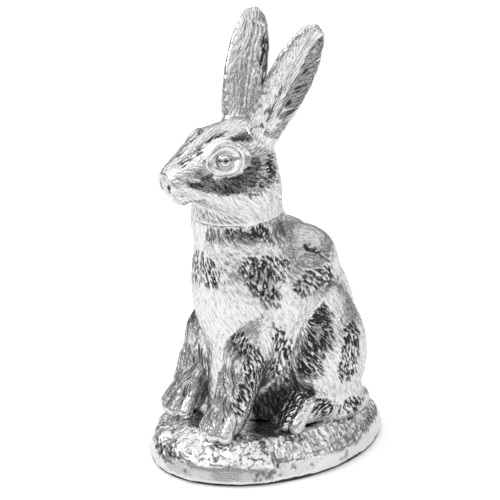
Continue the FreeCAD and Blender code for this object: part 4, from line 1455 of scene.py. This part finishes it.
class HARE_OT_ground(PieceOperator, Operator):
    """Cast the ground plinth, with its chiselled rim and cracked mound"""

    bl_idname = "hare.ground"
    bl_label = "Ground"

    def build(self, settings):
        make_ground(settings)


class HARE_OT_stones(PieceOperator, Operator):
    """Scatter small stones over the mound"""

    bl_idname = "hare.stones"
    bl_label = "Stones"

    def build(self, settings):
        make_stones(settings)


class HARE_OT_felt(PieceOperator, Operator):
    """Cut the felt pad"""

    bl_idname = "hare.felt"
    bl_label = "Felt"

    def build(self, settings):
        make_felt(settings)


class HARE_OT_fixings(PieceOperator, Operator):
    """Finish the screws, pins, washers and base plate"""

    bl_idname = "hare.fixings"
    bl_label = "Fixings"

    def build(self, settings):
        dress_fixings()


class HARE_OT_stage(PieceOperator, Operator):
    """Set the floor, the light and the camera"""

    bl_idname = "hare.stage"
    bl_label = "Stage"

    def build(self, settings):
        bpy.context.scene.view_settings.view_transform = "Standard"
        make_floor()
        make_world()
        middle = (0, 0, 0.12)
        make_lamp("Key", (-0.35, -0.9, 1.1), (0.7, 0.5), 5.5, middle)
        make_sun()
        make_lamp("Side", (1.2, 0.35, 0.5), (0.35, 0.9), 1.6, middle)
        make_camera(settings)


PIECE_OPERATORS = (
    HARE_OT_torso,
    HARE_OT_head,
    HARE_OT_ears,
    HARE_OT_eyes,
    HARE_OT_forelegs,
    HARE_OT_haunches,
    HARE_OT_hind_feet,
    HARE_OT_tail,
    HARE_OT_ground,
    HARE_OT_stones,
    HARE_OT_felt,
    HARE_OT_fixings,
    HARE_OT_stage,
)


class HARE_PT_panel(Panel):
    """Sizes, colours and pieces of the ornament"""

    bl_label = "Sitting Hare"
    bl_space_type = "VIEW_3D"
    bl_region_type = "UI"
    bl_category = "Hare"

    def draw(self, context):
        settings = context.scene.hare
        for name in HareSettings.__annotations__:
            self.layout.prop(settings, name)
        for operator in PIECE_OPERATORS:
            self.layout.operator(operator.bl_idname)


CLASSES = (HareSettings, *PIECE_OPERATORS, HARE_PT_panel)


def register():
    for item in CLASSES:
        bpy.utils.register_class(item)
    bpy.types.Scene.hare = PointerProperty(type=HareSettings)


def unregister():
    del bpy.types.Scene.hare
    for item in reversed(CLASSES):
        bpy.utils.unregister_class(item)


def main():
    register()
    for operator in PIECE_OPERATORS:
        group, name = operator.bl_idname.split(".")
        getattr(getattr(bpy.ops, group), name)()


if __name__ == "__main__":
    main()
